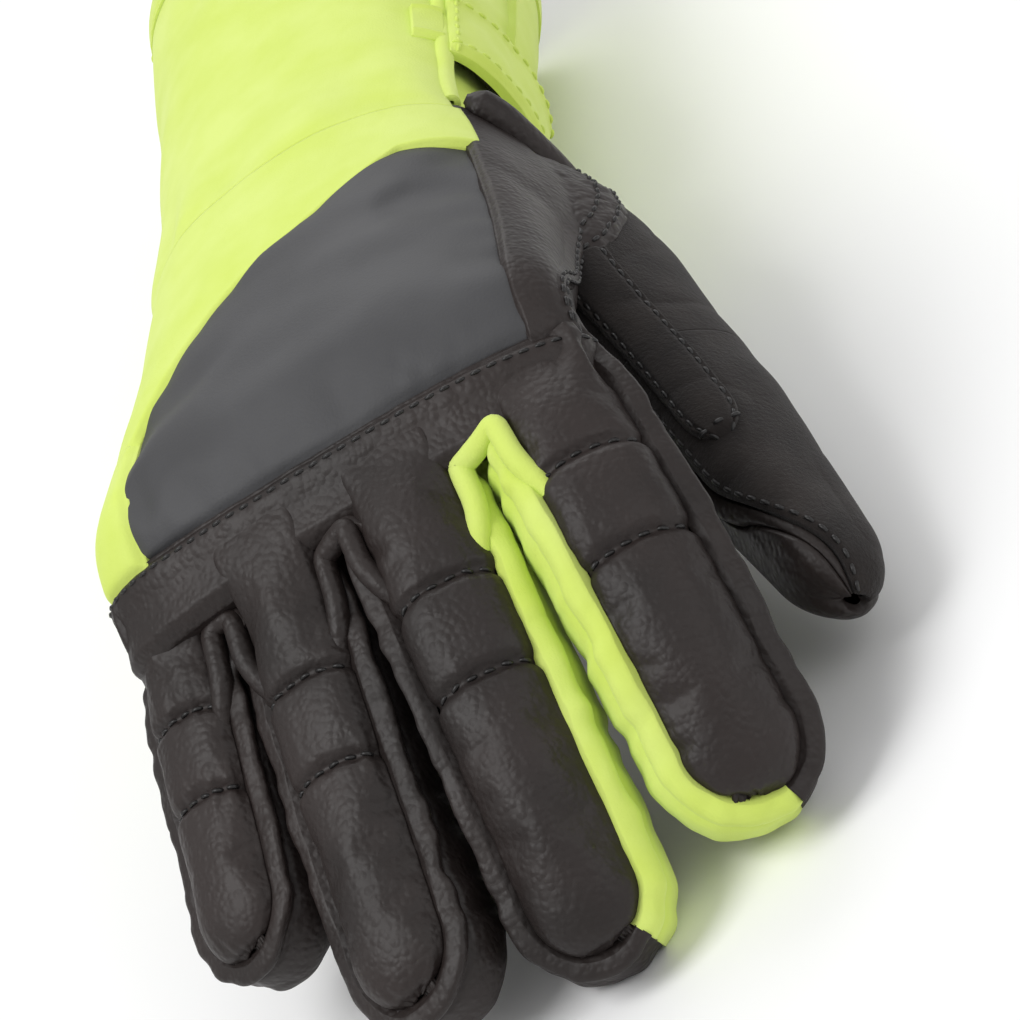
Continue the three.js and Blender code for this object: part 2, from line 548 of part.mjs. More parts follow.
// ---- cuff ----
function buildCuff() {
  const from = WRIST_AT + WRIST_FLEX_HALF;
  const to = CUFF_END - HEM_LENGTH;
  const gather = handSleeve([BACK_TO + SEAM_GAP, from - SEAM_GAP], SHELL, SEAM_GAP, [4, 24]);
  piece("wrist_gather", "elastic", gather, hand);
  const [slitBack, slitPalm] = GUSSET.angles;
  const palmBack = PALM_BACK_EDGE - 360;
  const panel = (angles, ...rest) => handPanel(angles, [from, to], SHELL, ...rest);
  piece("cuff_back", "softshell", panel([palmBack, slitBack], 0, [5, 10]), hand);
  piece("cuff_gusset", "softshell", panel(GUSSET.angles, GUSSET.sunk, [5, 3]), hand);
  piece("cuff_palm", "softshell", panel([slitPalm, PALM_BACK_EDGE], 0, [5, 10]), hand);
  piece("cuff_hem", "softshell", handSleeve([to, CUFF_END], SHELL + LINING, 0, [2, 32]), hand);
  const lining = handSleeve([from, to - SEAM_GAP / 2], LINING, SHELL + GUSSET.sunk + SEAM_GAP, [3, 24]);
  piece("cuff_lining", "fleece", lining, hand);
  // A band over the cuff: a piece of strap or tab, with its heights over the cuff's outer face.
  const band = (name, look, angles, stations, [low, high], across) =>
    piece(name, look, slab(2, across, (u, v, w) =>
      handPoint(lerp(angles[0], angles[1], v), lerp(stations[0], stations[1], u), w ? -high : -low)), hand);
  const { from: start, width, thick, margin, start: first, split } = STRAP;
  const whole = [start, start + width];
  const inner = [start + margin, start + width - margin];
  const under = [first + 4, split - 6];
  const hookTop = SEAM_GAP + PATCH_THICK;
  const loopTop = hookTop + SEAM_GAP + PATCH_THICK;
  const outer = [loopTop + SEAM_GAP, loopTop + SEAM_GAP + thick];
  band("hook_patch", "elastic", under, inner, [SEAM_GAP, hookTop], 5);
  band("loop_patch", "elastic", under, inner, [hookTop + SEAM_GAP, loopTop], 5);
  band("wrist_strap_end", "softshell", [first, split - 2], whole, outer, 6);
  band("wrist_strap_base", "softshell", [split, STRAP.end], whole, [SEAM_GAP, SEAM_GAP + thick], 8);
  const tab = [start + 2 * margin, start + width - 2 * margin];
  band("strap_pull_tab", "softshell", [first - 14, first - 1], tab, outer, 2);
  const pull = [from + 2, from + 2 + PULL_TAB.length];
  band("pull_tab", "softshell", PULL_TAB.angles, pull, [SEAM_GAP, PULL_TAB.top], 2);
}

buildHand();
const frames = FINGERS.map(fingerFrames);
const bases = frames.map((frame) => frame.base);
buildKnuckles(bases);
FINGERS.forEach((finger, k) => buildFinger(finger, frames[k]));
buildForchettes(bases);
buildThumb();
buildCuff();

export default glove;
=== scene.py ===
"""Padded winter work glove, right hand: sewn leather, suede and softshell pieces over a rigid frame."""

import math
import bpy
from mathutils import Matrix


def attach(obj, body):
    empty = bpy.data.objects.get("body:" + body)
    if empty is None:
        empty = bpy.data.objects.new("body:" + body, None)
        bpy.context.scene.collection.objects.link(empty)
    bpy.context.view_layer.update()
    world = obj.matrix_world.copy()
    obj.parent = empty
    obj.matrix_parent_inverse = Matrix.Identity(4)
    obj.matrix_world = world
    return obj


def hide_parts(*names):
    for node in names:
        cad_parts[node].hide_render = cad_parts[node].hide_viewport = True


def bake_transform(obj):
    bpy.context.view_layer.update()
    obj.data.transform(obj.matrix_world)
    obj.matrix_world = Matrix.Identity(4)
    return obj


bl_info = {
    "name": "Padded work glove",
    "version": (1, 0, 0),
    "blender": (4, 5, 0),
    "location": "View3D > Sidebar > Glove",
    "description": "Builds the sewn pieces of a padded winter work glove",
    "category": "Object",
}

import bpy
import numpy as np
from mathutils import Matrix, Vector

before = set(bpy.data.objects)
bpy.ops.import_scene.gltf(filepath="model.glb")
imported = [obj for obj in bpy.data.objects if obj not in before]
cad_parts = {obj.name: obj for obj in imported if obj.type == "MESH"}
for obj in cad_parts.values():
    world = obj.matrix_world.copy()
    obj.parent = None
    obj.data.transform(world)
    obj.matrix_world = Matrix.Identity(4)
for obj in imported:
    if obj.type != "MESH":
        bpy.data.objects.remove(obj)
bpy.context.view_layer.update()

MM = 0.001

# ---- sizes of the glove, in millimetres and degrees ----
HAND_SLOPE = -9
KNUCKLE_HEIGHT = 69.6
REST_AT = 210.5
HEM_FROM, CUFF_END = 200, 214
BACK_TO = 86
HEM_ROUND, HEM_TURN, HEM_SEAM = 1.8, 0.42, 2.5
SHELL, LINING, SEAM_GAP = 2.2, 1.4, 0.4
KNUCKLE_BEND, KNUCKLE_SKEW, KNUCKLE_PIVOT = 34, -4.5, (0, 4, -2)
KNUCKLE_FRONT = 21.0
ROOT_PROUD = 0.6
SECTION_POWER = 0.8
# Distance from the knuckle line, half width, half depth, and the middle of the hand's section.
HAND_SECTIONS = np.array([
    (-40, 52.5, 14.0, 1, 0),
    (-20, 52.5, 14.5, 1, 0),
    (0, 51, 17.5, 2, -1),
    (30, 47, 21, 3.5, -3),
    (60, 43.5, 24.5, 3, -5),
    (97, 38, 27, 1, -5.5),
    (150, 38.5, 30, 1, -4.5),
    (214, 41, 36, 1, -3),
    (240, 41, 36, 1, -3),
], float)
# edges: angles over the flank where the back is sewn to a wall, little-finger side first.
FINGERS = [
    dict(name="index", root=(39, 3, -2), splay=6.5, roll=15, bend=(33, 15, 11), edges=(46, 27),
         web=23.5, quilt1=37, quilt2=54, length=105, half=13.4, deep=12.6),
    dict(name="middle", root=(11.5, 0, 0), splay=0, roll=15, bend=(36, 11, 9), edges=(27, 44),
         web=23.5, quilt1=43, quilt2=60, length=114, half=12.8, deep=12.6),
    dict(name="ring", root=(-12.5, 1.5, -2), splay=-8, roll=-5, bend=(38, 4, -2), edges=(27, 38),
         web=23.5, quilt1=42, quilt2=59, length=107, half=12.4, deep=12.2),
    dict(name="little", root=(-37, 9, -6), splay=-12, roll=-10, bend=(37, 2, -2), edges=(24, 38),
         web=22.5, quilt1=35, quilt2=51, length=84, half=11.6, deep=11.2),
]
PALM_EDGE = -48
TIP_ROUND = 1.05
QUILT_BOW = 1.2
# Where a side wall changes colour on the way round the tip.
BAND_SPLIT = {"index": 24, "middle": 34}
WALL_TUCK, SADDLE_BOW, WEB_NUDGE, WEB_ROLL, WEB_REACH = 4.5, 4.5, 5.5, 2.2, 20
THUMB = dict(root=(41, 64, -15), tip=(73, -40, -65.5), up=(0.8, 0, 0.6), half=14.4, deep=12,
             ball_half=17.5, ball_at=14, heel_half=9, heel_at=-22, flex_from=50, lean=4.0)
# Half the angle that the suede takes round the thumb, the side strip's angle, and the suede's thickness.
THUMB_SIDE, THUMB_STRIP, SUEDE = 88, 22, 1.8
WEAR_PATCH = dict(start=24.0, end=80.0, round_from=71, round_by=9.2, middle=-42, half=26, row=0.13)
# Angles round the hand, from its back towards the thumb.
GREY_LEFT, GREY_RIGHT = -45, 60
GREY_REAR = dict(left=19, rise=46, over=78, ease=0.8)
KNUCKLE_SPAN, PALM_SPAN, THUMB_SIDE_SPAN, BACK_LEFT = (-96, 92), (138, 264), (86, 140), -98
HEEL_PAD = dict(angles=(172, 250), stations=(28.0, 78.0))
PULL_TAB = dict(angles=(-112, -96), stations=(110, 128), rib=2.4)
SLIT = (62, 96)
CUFF_SEAM = 268
STRAP = dict(start=62, split=124, end=205, at=114, width=26)

# ---- the stage, in metres and watts ----
AIM = (0.0, -0.17, 0.04)
LIGHTS = [("Key", (-0.55, -0.55, 1.15), 0.7, 10.0), ("Fill", (1.15, -0.7, 0.85), 0.9, 4.0),
          ("Back", (0.1, 1.1, 1.0), 1.0, 8.0)]
FLOOR_SIZE, SKY = 12, 0.5
CAMERA = dict(at=(0.2661, -1.0195, 0.5579), forward=(-0.2472, 0.8173, -0.5205), up=(0.5183, 0.5654, 0.6416),
              lens=192.2, sensor=36, clip=20)


# ---- numbers and arrays ----
def power(value, exponent):
    return np.sign(value) * np.abs(value) ** exponent


def smooth(start, end, value):
    """0 before start and 1 after end, eased between them."""
    t = np.clip((value - start) / (end - start), 0, 1)
    return t * t * (3 - 2 * t)


def mix(a, b, share):
    return a + (b - a) * share


def stack(x, y, z):
    return np.stack(np.broadcast_arrays(x, y, z), -1).astype(float)


def turn(axis, degrees):
    """3 by 3 rotation about axis 0, 1 or 2."""
    c, s = math.cos(math.radians(degrees)), math.sin(math.radians(degrees))
    a, b = [(1, 2), (2, 0), (0, 1)][axis]
    made = np.eye(3)
    made[a, a] = made[b, b] = c
    made[a, b], made[b, a] = -s, s
    return made


def place(points, at):
    rotation, origin = at
    return points @ rotation.T + origin


def unplace(points, at):
    rotation, origin = at
    return (points - origin) @ rotation


def lattice(cell, seed):
    """A repeatable number from 0 to 1 for each whole-numbered cell."""
    i = cell.astype(np.int64)
    h = i[..., 0] * 374761393 + i[..., 1] * 668265263 + i[..., 2] * 1440662683 + seed * 97463477
    h = h & 0xFFFFFFFF
    h = ((h ^ (h >> 13)) * 1274126177) & 0xFFFFFFFF
    return ((h ^ (h >> 16)) & 0xFFFF) / 65535.0


def noise(points, size, seed=0):
    """Smooth noise from -1 to 1 with features of that size."""
    q = points / size + 1000.0
    cell = np.floor(q)
    t = q - cell
    t = t * t * (3 - 2 * t)
    total = 0.0
    for corner in np.ndindex(2, 2, 2):
        weight = np.prod([t[..., k] if corner[k] else 1 - t[..., k] for k in range(3)], axis=0)
        total = total + weight * lattice(cell + np.array(corner), seed)
    return 2 * total - 1


def creases(points, size, seed=0):
    """Thin valleys, from 0 to 1 at their deepest, that wander over the surface."""
    wander = points + size * 0.6 * stack(*[noise(points, size * 1.4, seed + k) for k in (1, 2, 3)])
    return (1 - np.abs(noise(wander, size, seed))) ** 7


def refine(grid, times):
    """A grid of points with that many steps for each one, on a smooth curve through them."""
    for axis in (0, 1):
        p = np.moveaxis(grid, axis, 0)
        before = np.concatenate([2 * p[:1] - p[1:2], p[:-2]])
        after = np.concatenate([p[2:], 2 * p[-1:] - p[-2:-1]])
        a, b = p[:-1], p[1:]
        rows = []
        for k in range(times):
            t = k / times
            rows.append(0.5 * (2 * a + (b - before) * t + (2 * before - 5 * a + 4 * b - after) * t ** 2
                               + (3 * a - before - 3 * b + after) * t ** 3))
        dense = np.stack(rows, 1).reshape((-1,) + p.shape[1:])
        grid = np.moveaxis(np.concatenate([dense, p[-1:]]), 0, axis)
    return grid


def blur(values, passes):
    """Evens out a grid of numbers."""
    for _ in range(passes):
        wide = np.pad(values, 1, mode="edge")
        values = (wide[:-2, 1:-1] + wide[2:, 1:-1] + wide[1:-1, :-2] + wide[1:-1, 2:] + 4 * values) / 8
    return values


def spread(nu, nv):
    """Shares from 0 to 1 along and across a grid."""
    return np.meshgrid(np.linspace(0, 1, nu + 1), np.linspace(0, 1, nv + 1), indexing="ij")


# ---- the skin of the hand ----
def ground_at(s):
    slope = math.radians(HAND_SLOPE)
    return (-KNUCKLE_HEIGHT - s * math.sin(slope)) / math.cos(slope)


def hand_frame():
    slope = math.radians(HAND_SLOPE)
    back = REST_AT * math.cos(slope) - ground_at(REST_AT) * math.sin(slope)
    return turn(0, HAND_SLOPE), np.array([0, -back, KNUCKLE_HEIGHT])


HAND = hand_frame()
KNUCKLES = (turn(2, KNUCKLE_SKEW) @ turn(0, KNUCKLE_BEND), np.array(KNUCKLE_PIVOT, float))


def row(points):
    """From the hand's own axes in millimetres to the glove's frame in millimetres."""
    return place(points, HAND)


def section(s):
    """Half width, half depth and middle of the hand's section, eased along the hand."""
    s = np.asarray(s, float)
    rows = HAND_SECTIONS
    return [np.mean([np.interp(s + d, rows[:, 0], rows[:, c]) for d in (-8, -4, 0, 4, 8)], axis=0)
            for c in (1, 2, 3, 4)]


def hand_skin(angle, s, lift=0.0):
    half, deep, x0, z0 = section(s)
    a = np.radians(angle)
    x = x0 + (half + lift) * power(np.sin(a), SECTION_POWER)
    z = np.maximum(z0 + (deep + lift) * power(np.cos(a), SECTION_POWER), ground_at(s) - lift)
    return stack(x, s, z)


def folded_skin(angle, s, lift=0.0):
    """The hand's skin carried over the knuckle line, where it turns down with the fingers."""
    flat = hand_skin(angle, s, lift)
    turned = place(flat + np.array([0, 0, KNUCKLE_PIVOT[2] / 2]), KNUCKLES)
    reach = 9 + 2 * (1 - np.cos(np.radians(angle)))
    share = 1 - smooth(-reach, reach, s)
    return row(mix(flat, turned, share[..., None] if np.ndim(share) else share))


def wrist_skin(angle, s, lift=0.0):
    return row(hand_skin(angle, s, lift))


# ---- the skin of a finger ----
def crown(rho):
    return np.maximum(0, 1 - np.minimum(rho, 1) ** 2.5) ** 0.4


def flank(angle):
    return abs(math.cos(math.radians(angle))) ** SECTION_POWER


def joint_at(f):
    return (f["quilt1"] + f["quilt2"]) / 2


def last_joint_at(f):
    return mix(joint_at(f), f["length"], 0.45)


def edge_at(f, across):
    """The back panel's reach out to its side seams, as a share of the half width, eased across it."""
    return mix(flank(f["edges"][0]), flank(f["edges"][1]), smooth(-1, 1, across))


def back_end(f, across):
    """How far along the finger its back panel ends."""
    return end_start(f) + f["half"] * TIP_ROUND * edge_at(f, across) - 0.3


def end_start(f):
    return f["length"] - f["half"] * TIP_ROUND


def bend_at(points, joint, length, degrees):
    """Turns the points past a joint about the axis across the finger, eased over a length of it."""
    share = np.clip(0.5 + (-points[..., 1] - joint) / length, 0, 1)
    a = np.radians(degrees) * share
    y = points[..., 1] + joint
    z = points[..., 2]
    return stack(points[..., 0], y * np.cos(a) - z * np.sin(a) - joint, y * np.sin(a) + z * np.cos(a))


def finger_frame(f):
    return turn(2, f["splay"]) @ turn(0, f["bend"][0]) @ turn(1, f["roll"]), np.array(f["root"], float)


def finger_place(f, points):
    """From the straight finger to the hand's axes."""
    points = bend_at(points, last_joint_at(f), 16, f["bend"][2])
    points = bend_at(points, joint_at(f), f["quilt2"] - f["quilt1"], f["bend"][1])
    return place(points, finger_frame(f))


def plate(f, s, across, side, lift=0.0):
    """A point of the finger's back or palm panel: across runs from -1 to 1 between its side seams."""
    edge = edge_at(f, across) if side > 0 else flank(PALM_EDGE)
    round_ = f["half"] * TIP_ROUND
    along = np.maximum(0, s - end_start(f)) / round_
    room = np.sqrt(np.maximum(1e-4, edge ** 2 - along ** 2))
    x = across * (f["half"] + lift) * room
    rho = np.hypot(x / (f["half"] + lift), along)
    return stack(x, -s, side * (f["deep"] + lift) * crown(rho))


def wall(f, around, s, angle, lift=0.0):
    """A point of the side wall; the turn is -90 or 90 on the straight sides, and between them round the tip."""
    out = np.abs(np.cos(np.radians(angle))) ** SECTION_POWER
    a = np.radians(around)
    half = f["half"] + lift
    z = (f["deep"] + lift * 0.5) * power(np.sin(np.radians(angle)), SECTION_POWER)
    round_ = f["half"] * TIP_ROUND + lift
    return stack(half * out * np.sin(a), -s - round_ * out * np.maximum(0, np.cos(a)), z)


def finger_axis(f, s):
    """A point on the finger's middle line, in the glove's frame in metres."""
    return tuple(row(finger_place(f, stack(0.0, -float(s), 0.0))) * MM)


# ---- the skin of the thumb ----
def thumb_frame():
    root, tip = np.array(THUMB["root"], float), np.array(THUMB["tip"], float)
    back = (root - tip) / np.linalg.norm(root - tip)
    up = np.array(THUMB["up"], float)
    up = up - back * (up @ back)
    up /= np.linalg.norm(up)
    return np.stack([np.cross(back, up), back, up], 1), root


THUMB_AT = thumb_frame()
THUMB_LENGTH = float(np.linalg.norm(np.array(THUMB["root"]) - np.array(THUMB["tip"])))


def thumb_half(s):
    swell = np.clip((s - THUMB["heel_at"]) / (THUMB["ball_at"] - THUMB["heel_at"]), 0, 1)
    narrow = smooth(THUMB["ball_at"], THUMB["flex_from"] + 10, s)
    rear = mix(THUMB["heel_half"], THUMB["ball_half"], np.sin(np.pi / 2 * swell))
    front = mix(THUMB["ball_half"], THUMB["half"], narrow) - 3.0 * smooth(60, 112, s)
    return np.where(s < THUMB["ball_at"], rear, front)


def thumb_skin(angle, s, lift=0.0):
    half = thumb_half(s)
    start = THUMB_LENGTH - THUMB["half"] * TIP_ROUND
    along = np.clip((s - start) / (THUMB["half"] * TIP_ROUND), 0, 0.9997)
    cap = np.sqrt(1 - along ** 2)
    a = np.radians(angle)
    x = (half + lift) * cap * power(np.sin(a), SECTION_POWER)
    z = (half * THUMB["deep"] / THUMB["half"] + lift) * cap * power(np.cos(a), SECTION_POWER)
    past = np.maximum(0, s - start)
    y = -s - lift * past / (THUMB["half"] * TIP_ROUND)
    return row(place(stack(x - THUMB["lean"] * smooth(40, 120, s), y, z), THUMB_AT))


def thumb_axis(s):
    return tuple(row(place(stack(0.0, -float(s), 0.0), THUMB_AT)) * MM)


def lift_over_thumb(angle, s):
    """How far the hand's skin has to rise, at each point of a grid, to lie over the root of the thumb."""
    lifts = np.linspace(0, 22, 45)
    best = np.zeros(np.broadcast(angle, s).shape)
    for lift in lifts:
        p = unplace(hand_skin(angle, s, lift), THUMB_AT)
        half = thumb_half(-p[..., 1])
        inside = (np.abs(p[..., 0]) / half) ** 2.5 + (np.abs(p[..., 2]) * 1.2 / half) ** 2.5 < 1
        inside &= (-p[..., 1] > THUMB["heel_at"]) & (p[..., 2] > 0)
        best = np.where(inside, lift, best)
    return np.maximum(blur(best, 120), best)


# ---- meshes ----
def normals_of(grid, outward):
    """Unit normals of a grid of points, on the side that outward points to."""
    n = np.cross(np.gradient(grid, axis=0), np.gradient(grid, axis=1))
    length = np.linalg.norm(n, axis=-1, keepdims=True)
    out = outward / np.maximum(np.linalg.norm(outward, axis=-1, keepdims=True), 1e-9)
    n = np.where(length > 1e-6, n / np.maximum(length, 1e-9), out)
    return np.where((n * out).sum(-1, keepdims=True) < 0, -n, n)


def closed_piece(name, outer, inner, material, wrap=False):
    """A closed piece between two grids of points, in millimetres, the first facing outwards."""
    rows, columns = outer.shape[:2]
    if wrap:
        outer, inner = outer[:, :-1], inner[:, :-1]
        columns -= 1
    count = rows * columns
    spans = columns if wrap else columns - 1
    i, j = np.meshgrid(np.arange(rows - 1), np.arange(spans), indexing="ij")
    i, j, k = i.ravel(), j.ravel(), (j.ravel() + 1) % columns
    top = np.stack([i * columns + j, (i + 1) * columns + j, (i + 1) * columns + k, i * columns + k], 1)
    under = top[:, ::-1] + count
    line = np.arange(spans)
    after = (line + 1) % columns
    first = np.stack([line, after, after + count, line + count], 1)
    last_row = (rows - 1) * columns
    last = last_row + np.stack([after, line, line + count, after + count], 1)
    rims = [first, last]
    if not wrap:
        r = np.arange(rows - 1) * columns
        e = r + columns - 1
        rims.append(np.stack([r + columns, r, r + count, r + columns + count], 1))
        rims.append(np.stack([e, e + columns, e + columns + count, e + count], 1))
    faces = np.concatenate([top, under, *rims])
    outward = (outer - inner).reshape(-1, 3)
    facing = np.cross(np.gradient(outer, axis=0), np.gradient(outer, axis=1)).reshape(-1, 3)
    if (facing * outward).sum() < 0:
        faces = faces[:, ::-1]
    points = np.concatenate([outer.reshape(-1, 3), inner.reshape(-1, 3)]) * MM
    smooth_faces = np.zeros(len(faces), bool)
    smooth_faces[: 2 * len(top)] = True
    return mesh_object(name, points, faces, material, smooth_faces)


def mesh_object(name, points, faces, material, smooth_faces=None):
    mesh = bpy.data.meshes.new(name)
    mesh.from_pydata(points.tolist(), [], faces.tolist() if isinstance(faces, np.ndarray) else faces)
    flags = np.ones(len(mesh.polygons), bool) if smooth_faces is None else smooth_faces
    mesh.polygons.foreach_set("use_smooth", flags)
    mesh.materials.append(material)
    mesh.update()
    made = bpy.data.objects.new(name, mesh)
    bpy.context.scene.collection.objects.link(made)
    return made


def puffed(grid, outward, pinned, growth, pressure, most, steps=20):
    """The padded panel as its filling pushes it out: a cloth, at ten times its size, held at its seams."""
    rows, columns = grid.shape[:2]
    flat = grid.reshape(-1, 3)
    scale = 10 * MM
    i, j = np.meshgrid(np.arange(rows - 1), np.arange(columns - 1), indexing="ij")
    i, j = i.ravel(), j.ravel()
    corner, under = i * columns + j, (i + 1) * columns + j
    faces = np.stack([corner, under, under + 1, corner + 1], 1)
    normal = np.cross(np.gradient(grid, axis=0), np.gradient(grid, axis=1))
    if (normal * outward).sum() < 0:
        faces = faces[:, ::-1]
    mesh = bpy.data.meshes.new("cloth")
    mesh.from_pydata((flat * scale).tolist(), [], faces.tolist())
    sheet = bpy.data.objects.new("cloth", mesh)
    bpy.context.scene.collection.objects.link(sheet)
    held = sheet.vertex_groups.new(name="held")
    held.add(np.flatnonzero(pinned.ravel()).tolist(), 1.0, "REPLACE")
    modifier = sheet.modifiers.new("cloth", "CLOTH")
    settings = modifier.settings
    settings.vertex_group_mass = "held"
    settings.quality = 8
    settings.mass = 0.3
    settings.tension_stiffness = 20
    settings.compression_stiffness = 20
    settings.shear_stiffness = 8
    settings.bending_stiffness = 12
    settings.tension_damping = 10
    settings.air_damping = 4
    settings.shrink_min = -growth
    settings.use_pressure = True
    settings.uniform_pressure_force = pressure
    settings.effector_weights.gravity = 0
    modifier.collision_settings.use_collision = False
    modifier.collision_settings.use_self_collision = False
    modifier.point_cache.frame_start = 1
    modifier.point_cache.frame_end = steps
    scene = bpy.context.scene
    for number in range(1, steps + 1):
        scene.frame_set(number)
    made = sheet.evaluated_get(bpy.context.evaluated_depsgraph_get())
    shaped = np.empty(len(flat) * 3)
    made.data.vertices.foreach_get("co", shaped)
    bpy.data.objects.remove(sheet)
    bpy.data.meshes.remove(mesh)
    scene.frame_set(1)
    moved = shaped.reshape(grid.shape) / scale - grid
    length = np.linalg.norm(moved, axis=-1, keepdims=True)
    moved = moved * np.minimum(1, most / np.maximum(length, 1e-9))
    return grid + np.stack([blur(moved[..., k], 2) for k in range(3)], -1)


class Line:
    """Points and normals along a row of stitches."""

    def __init__(self, points, normals):
        self.points, self.normals = points, normals

    def resampled(self, pitch):
        steps = np.linalg.norm(np.diff(self.points, axis=0), axis=1)
        run = np.concatenate([[0], np.cumsum(steps)])
        count = max(2, int(run[-1] / pitch))
        at = np.linspace(pitch / 2, run[-1] - pitch / 2, count)
        points = np.stack([np.interp(at, run, self.points[:, k]) for k in range(3)], 1)
        normals = np.stack([np.interp(at, run, self.normals[:, k]) for k in range(3)], 1)
        ahead = np.stack([np.interp(at + 0.4, run, self.points[:, k]) for k in range(3)], 1)
        behind = np.stack([np.interp(at - 0.4, run, self.points[:, k]) for k in range(3)], 1)
        return points, normals, ahead - behind


def stitches(name, lines, material, length=2.3, thick=0.42, pitch=3.1, sunk=0.1):
    """Thread along each line: short rounded stitches with a gap between one and the next."""
    reach = np.array([-1, -0.8, -0.3, 0.3, 0.8, 1]) * length / 2
    size = np.array([0.25, 0.8, 1, 1, 0.8, 0.25]) * thick
    arch = np.array([-1.2, -0.25, 0.15, 0.15, -0.25, -1.2]) * thick
    sides = 6
    around = np.arange(sides) * 2 * math.pi / sides
    points, faces = [], []
    for line in lines:
        for at, normal, along in zip(*line.resampled(pitch)):
            along = along / max(np.linalg.norm(along), 1e-9)
            normal = normal - along * (normal @ along)
            normal = normal / max(np.linalg.norm(normal), 1e-9)
            side = np.cross(along, normal)
            base = len(points)
            ring = [at + along * r + normal * (h - sunk + z * math.sin(a)) + side * z * math.cos(a)
                    for r, z, h in zip(reach, size, arch) for a in around]
            points.extend(ring)
            for k in range(len(reach) - 1):
                for m in range(sides):
                    n = (m + 1) % sides
                    faces.append([base + k * sides + m, base + k * sides + n,
                                  base + (k + 1) * sides + n, base + (k + 1) * sides + m])
            faces.append([base + m for m in range(sides)][::-1])
            faces.append([base + (len(reach) - 1) * sides + m for m in range(sides)])
    return mesh_object(name, np.array(points) * MM, faces, material)


def roll_along(name, path, radius, material, sides=16, end_size=0.3):
    """A rolled edge: a bead along a path, with one radius for each point, tapered at both ends."""
    ahead = np.gradient(path, axis=0)
    ahead /= np.linalg.norm(ahead, axis=1, keepdims=True)
    side = np.cross(ahead, np.array([0.3, 0.2, 1.0]))
    side /= np.linalg.norm(side, axis=1, keepdims=True)
    up = np.cross(side, ahead)
    around = np.linspace(0, 2 * math.pi, sides + 1)[None, :, None]
    taper = np.minimum(np.linspace(0, 8, len(path)), np.linspace(8, 0, len(path)))
    size = (radius * np.sqrt(np.clip(taper, end_size ** 2, 1)))[:, None, None]
    ring = (up[:, None] * np.cos(around) + side[:, None] * np.sin(around)) * size
    return closed_piece(name, path[:, None] + ring, path[:, None] + ring * 0.3, material, wrap=True)


def line_on(grid, outward, along=None, across=None, lift=0.0):
    """A stitch line on a finished grid, at a share along it or across it."""
    normals = normals_of(grid, outward)
    if across is not None:
        grid, normals = grid.swapaxes(0, 1), normals.swapaxes(0, 1)
    at = (along if across is None else across) * (len(grid) - 1)
    k = int(min(at, len(grid) - 2))
    return Line(mix(grid[k], grid[k + 1], at - k) + normals[k] * lift, normals[k])


# ---- materials ----
def linear(code):
    """An sRGB colour written as six hex digits, as the linear values that shaders take."""
    parts = [int(code[k:k + 2], 16) / 255 for k in (0, 2, 4)]
    return [c / 12.92 if c <= 0.04045 else ((c + 0.055) / 1.055) ** 2.4 for c in parts] + [1.0]


def node(tree, kind, settings=None, links=None):
    """Adds a node, with its settings and sockets by name and the outputs that feed it."""
    made = tree.nodes.new("ShaderNode" + kind)
    for key, value in (settings or {}).items():
        if hasattr(made, key):
            setattr(made, key, value)
        else:
            made.inputs[key].default_value = value
    for key, source in (links or {}).items():
        tree.links.new(source, made.inputs[key])
    return made


def new_material(name):
    material = bpy.data.materials.get(name)
    if material is not None:
        return material, None, None
    material = bpy.data.materials.new(name)
    material.use_nodes = True
    tree = material.node_tree
    tree.nodes.clear()
    shader = node(tree, "BsdfPrincipled")
    node(tree, "OutputMaterial", links={"Surface": shader.outputs["BSDF"]})
    return material, tree, shader


def texture_noise(tree, coords, size, detail=3.0, rough=0.55):
    """Noise whose largest features have that size in metres."""
    settings = {"Scale": 1 / size, "Detail": detail, "Roughness": rough}
    return node(tree, "TexNoise", settings, {"Vector": coords})


def ramp(tree, source, low, high, first, last):
    """Maps a range of a value onto another range."""
    settings = {"From Min": low, "From Max": high, "To Min": first, "To Max": last}
    return node(tree, "MapRange", settings, {"Value": source}).outputs["Result"]


def two_tone(tree, shader, share, dark, light):
    """Colours the shader from dark to light, by the Mix node's colour sockets: inputs 6 and 7, output 2."""
    made = node(tree, "Mix", {"data_type": "RGBA"}, {"Factor": share})
    made.inputs[6].default_value = dark
    made.inputs[7].default_value = light
    tree.links.new(made.outputs[2], shader.inputs["Base Color"])


def bump(tree, height, depth, strength=1.0, under=None):
    links = {"Height": height}
    if under is not None:
        links["Normal"] = under
    return node(tree, "Bump", {"Strength": strength, "Distance": depth}, links).outputs["Normal"]


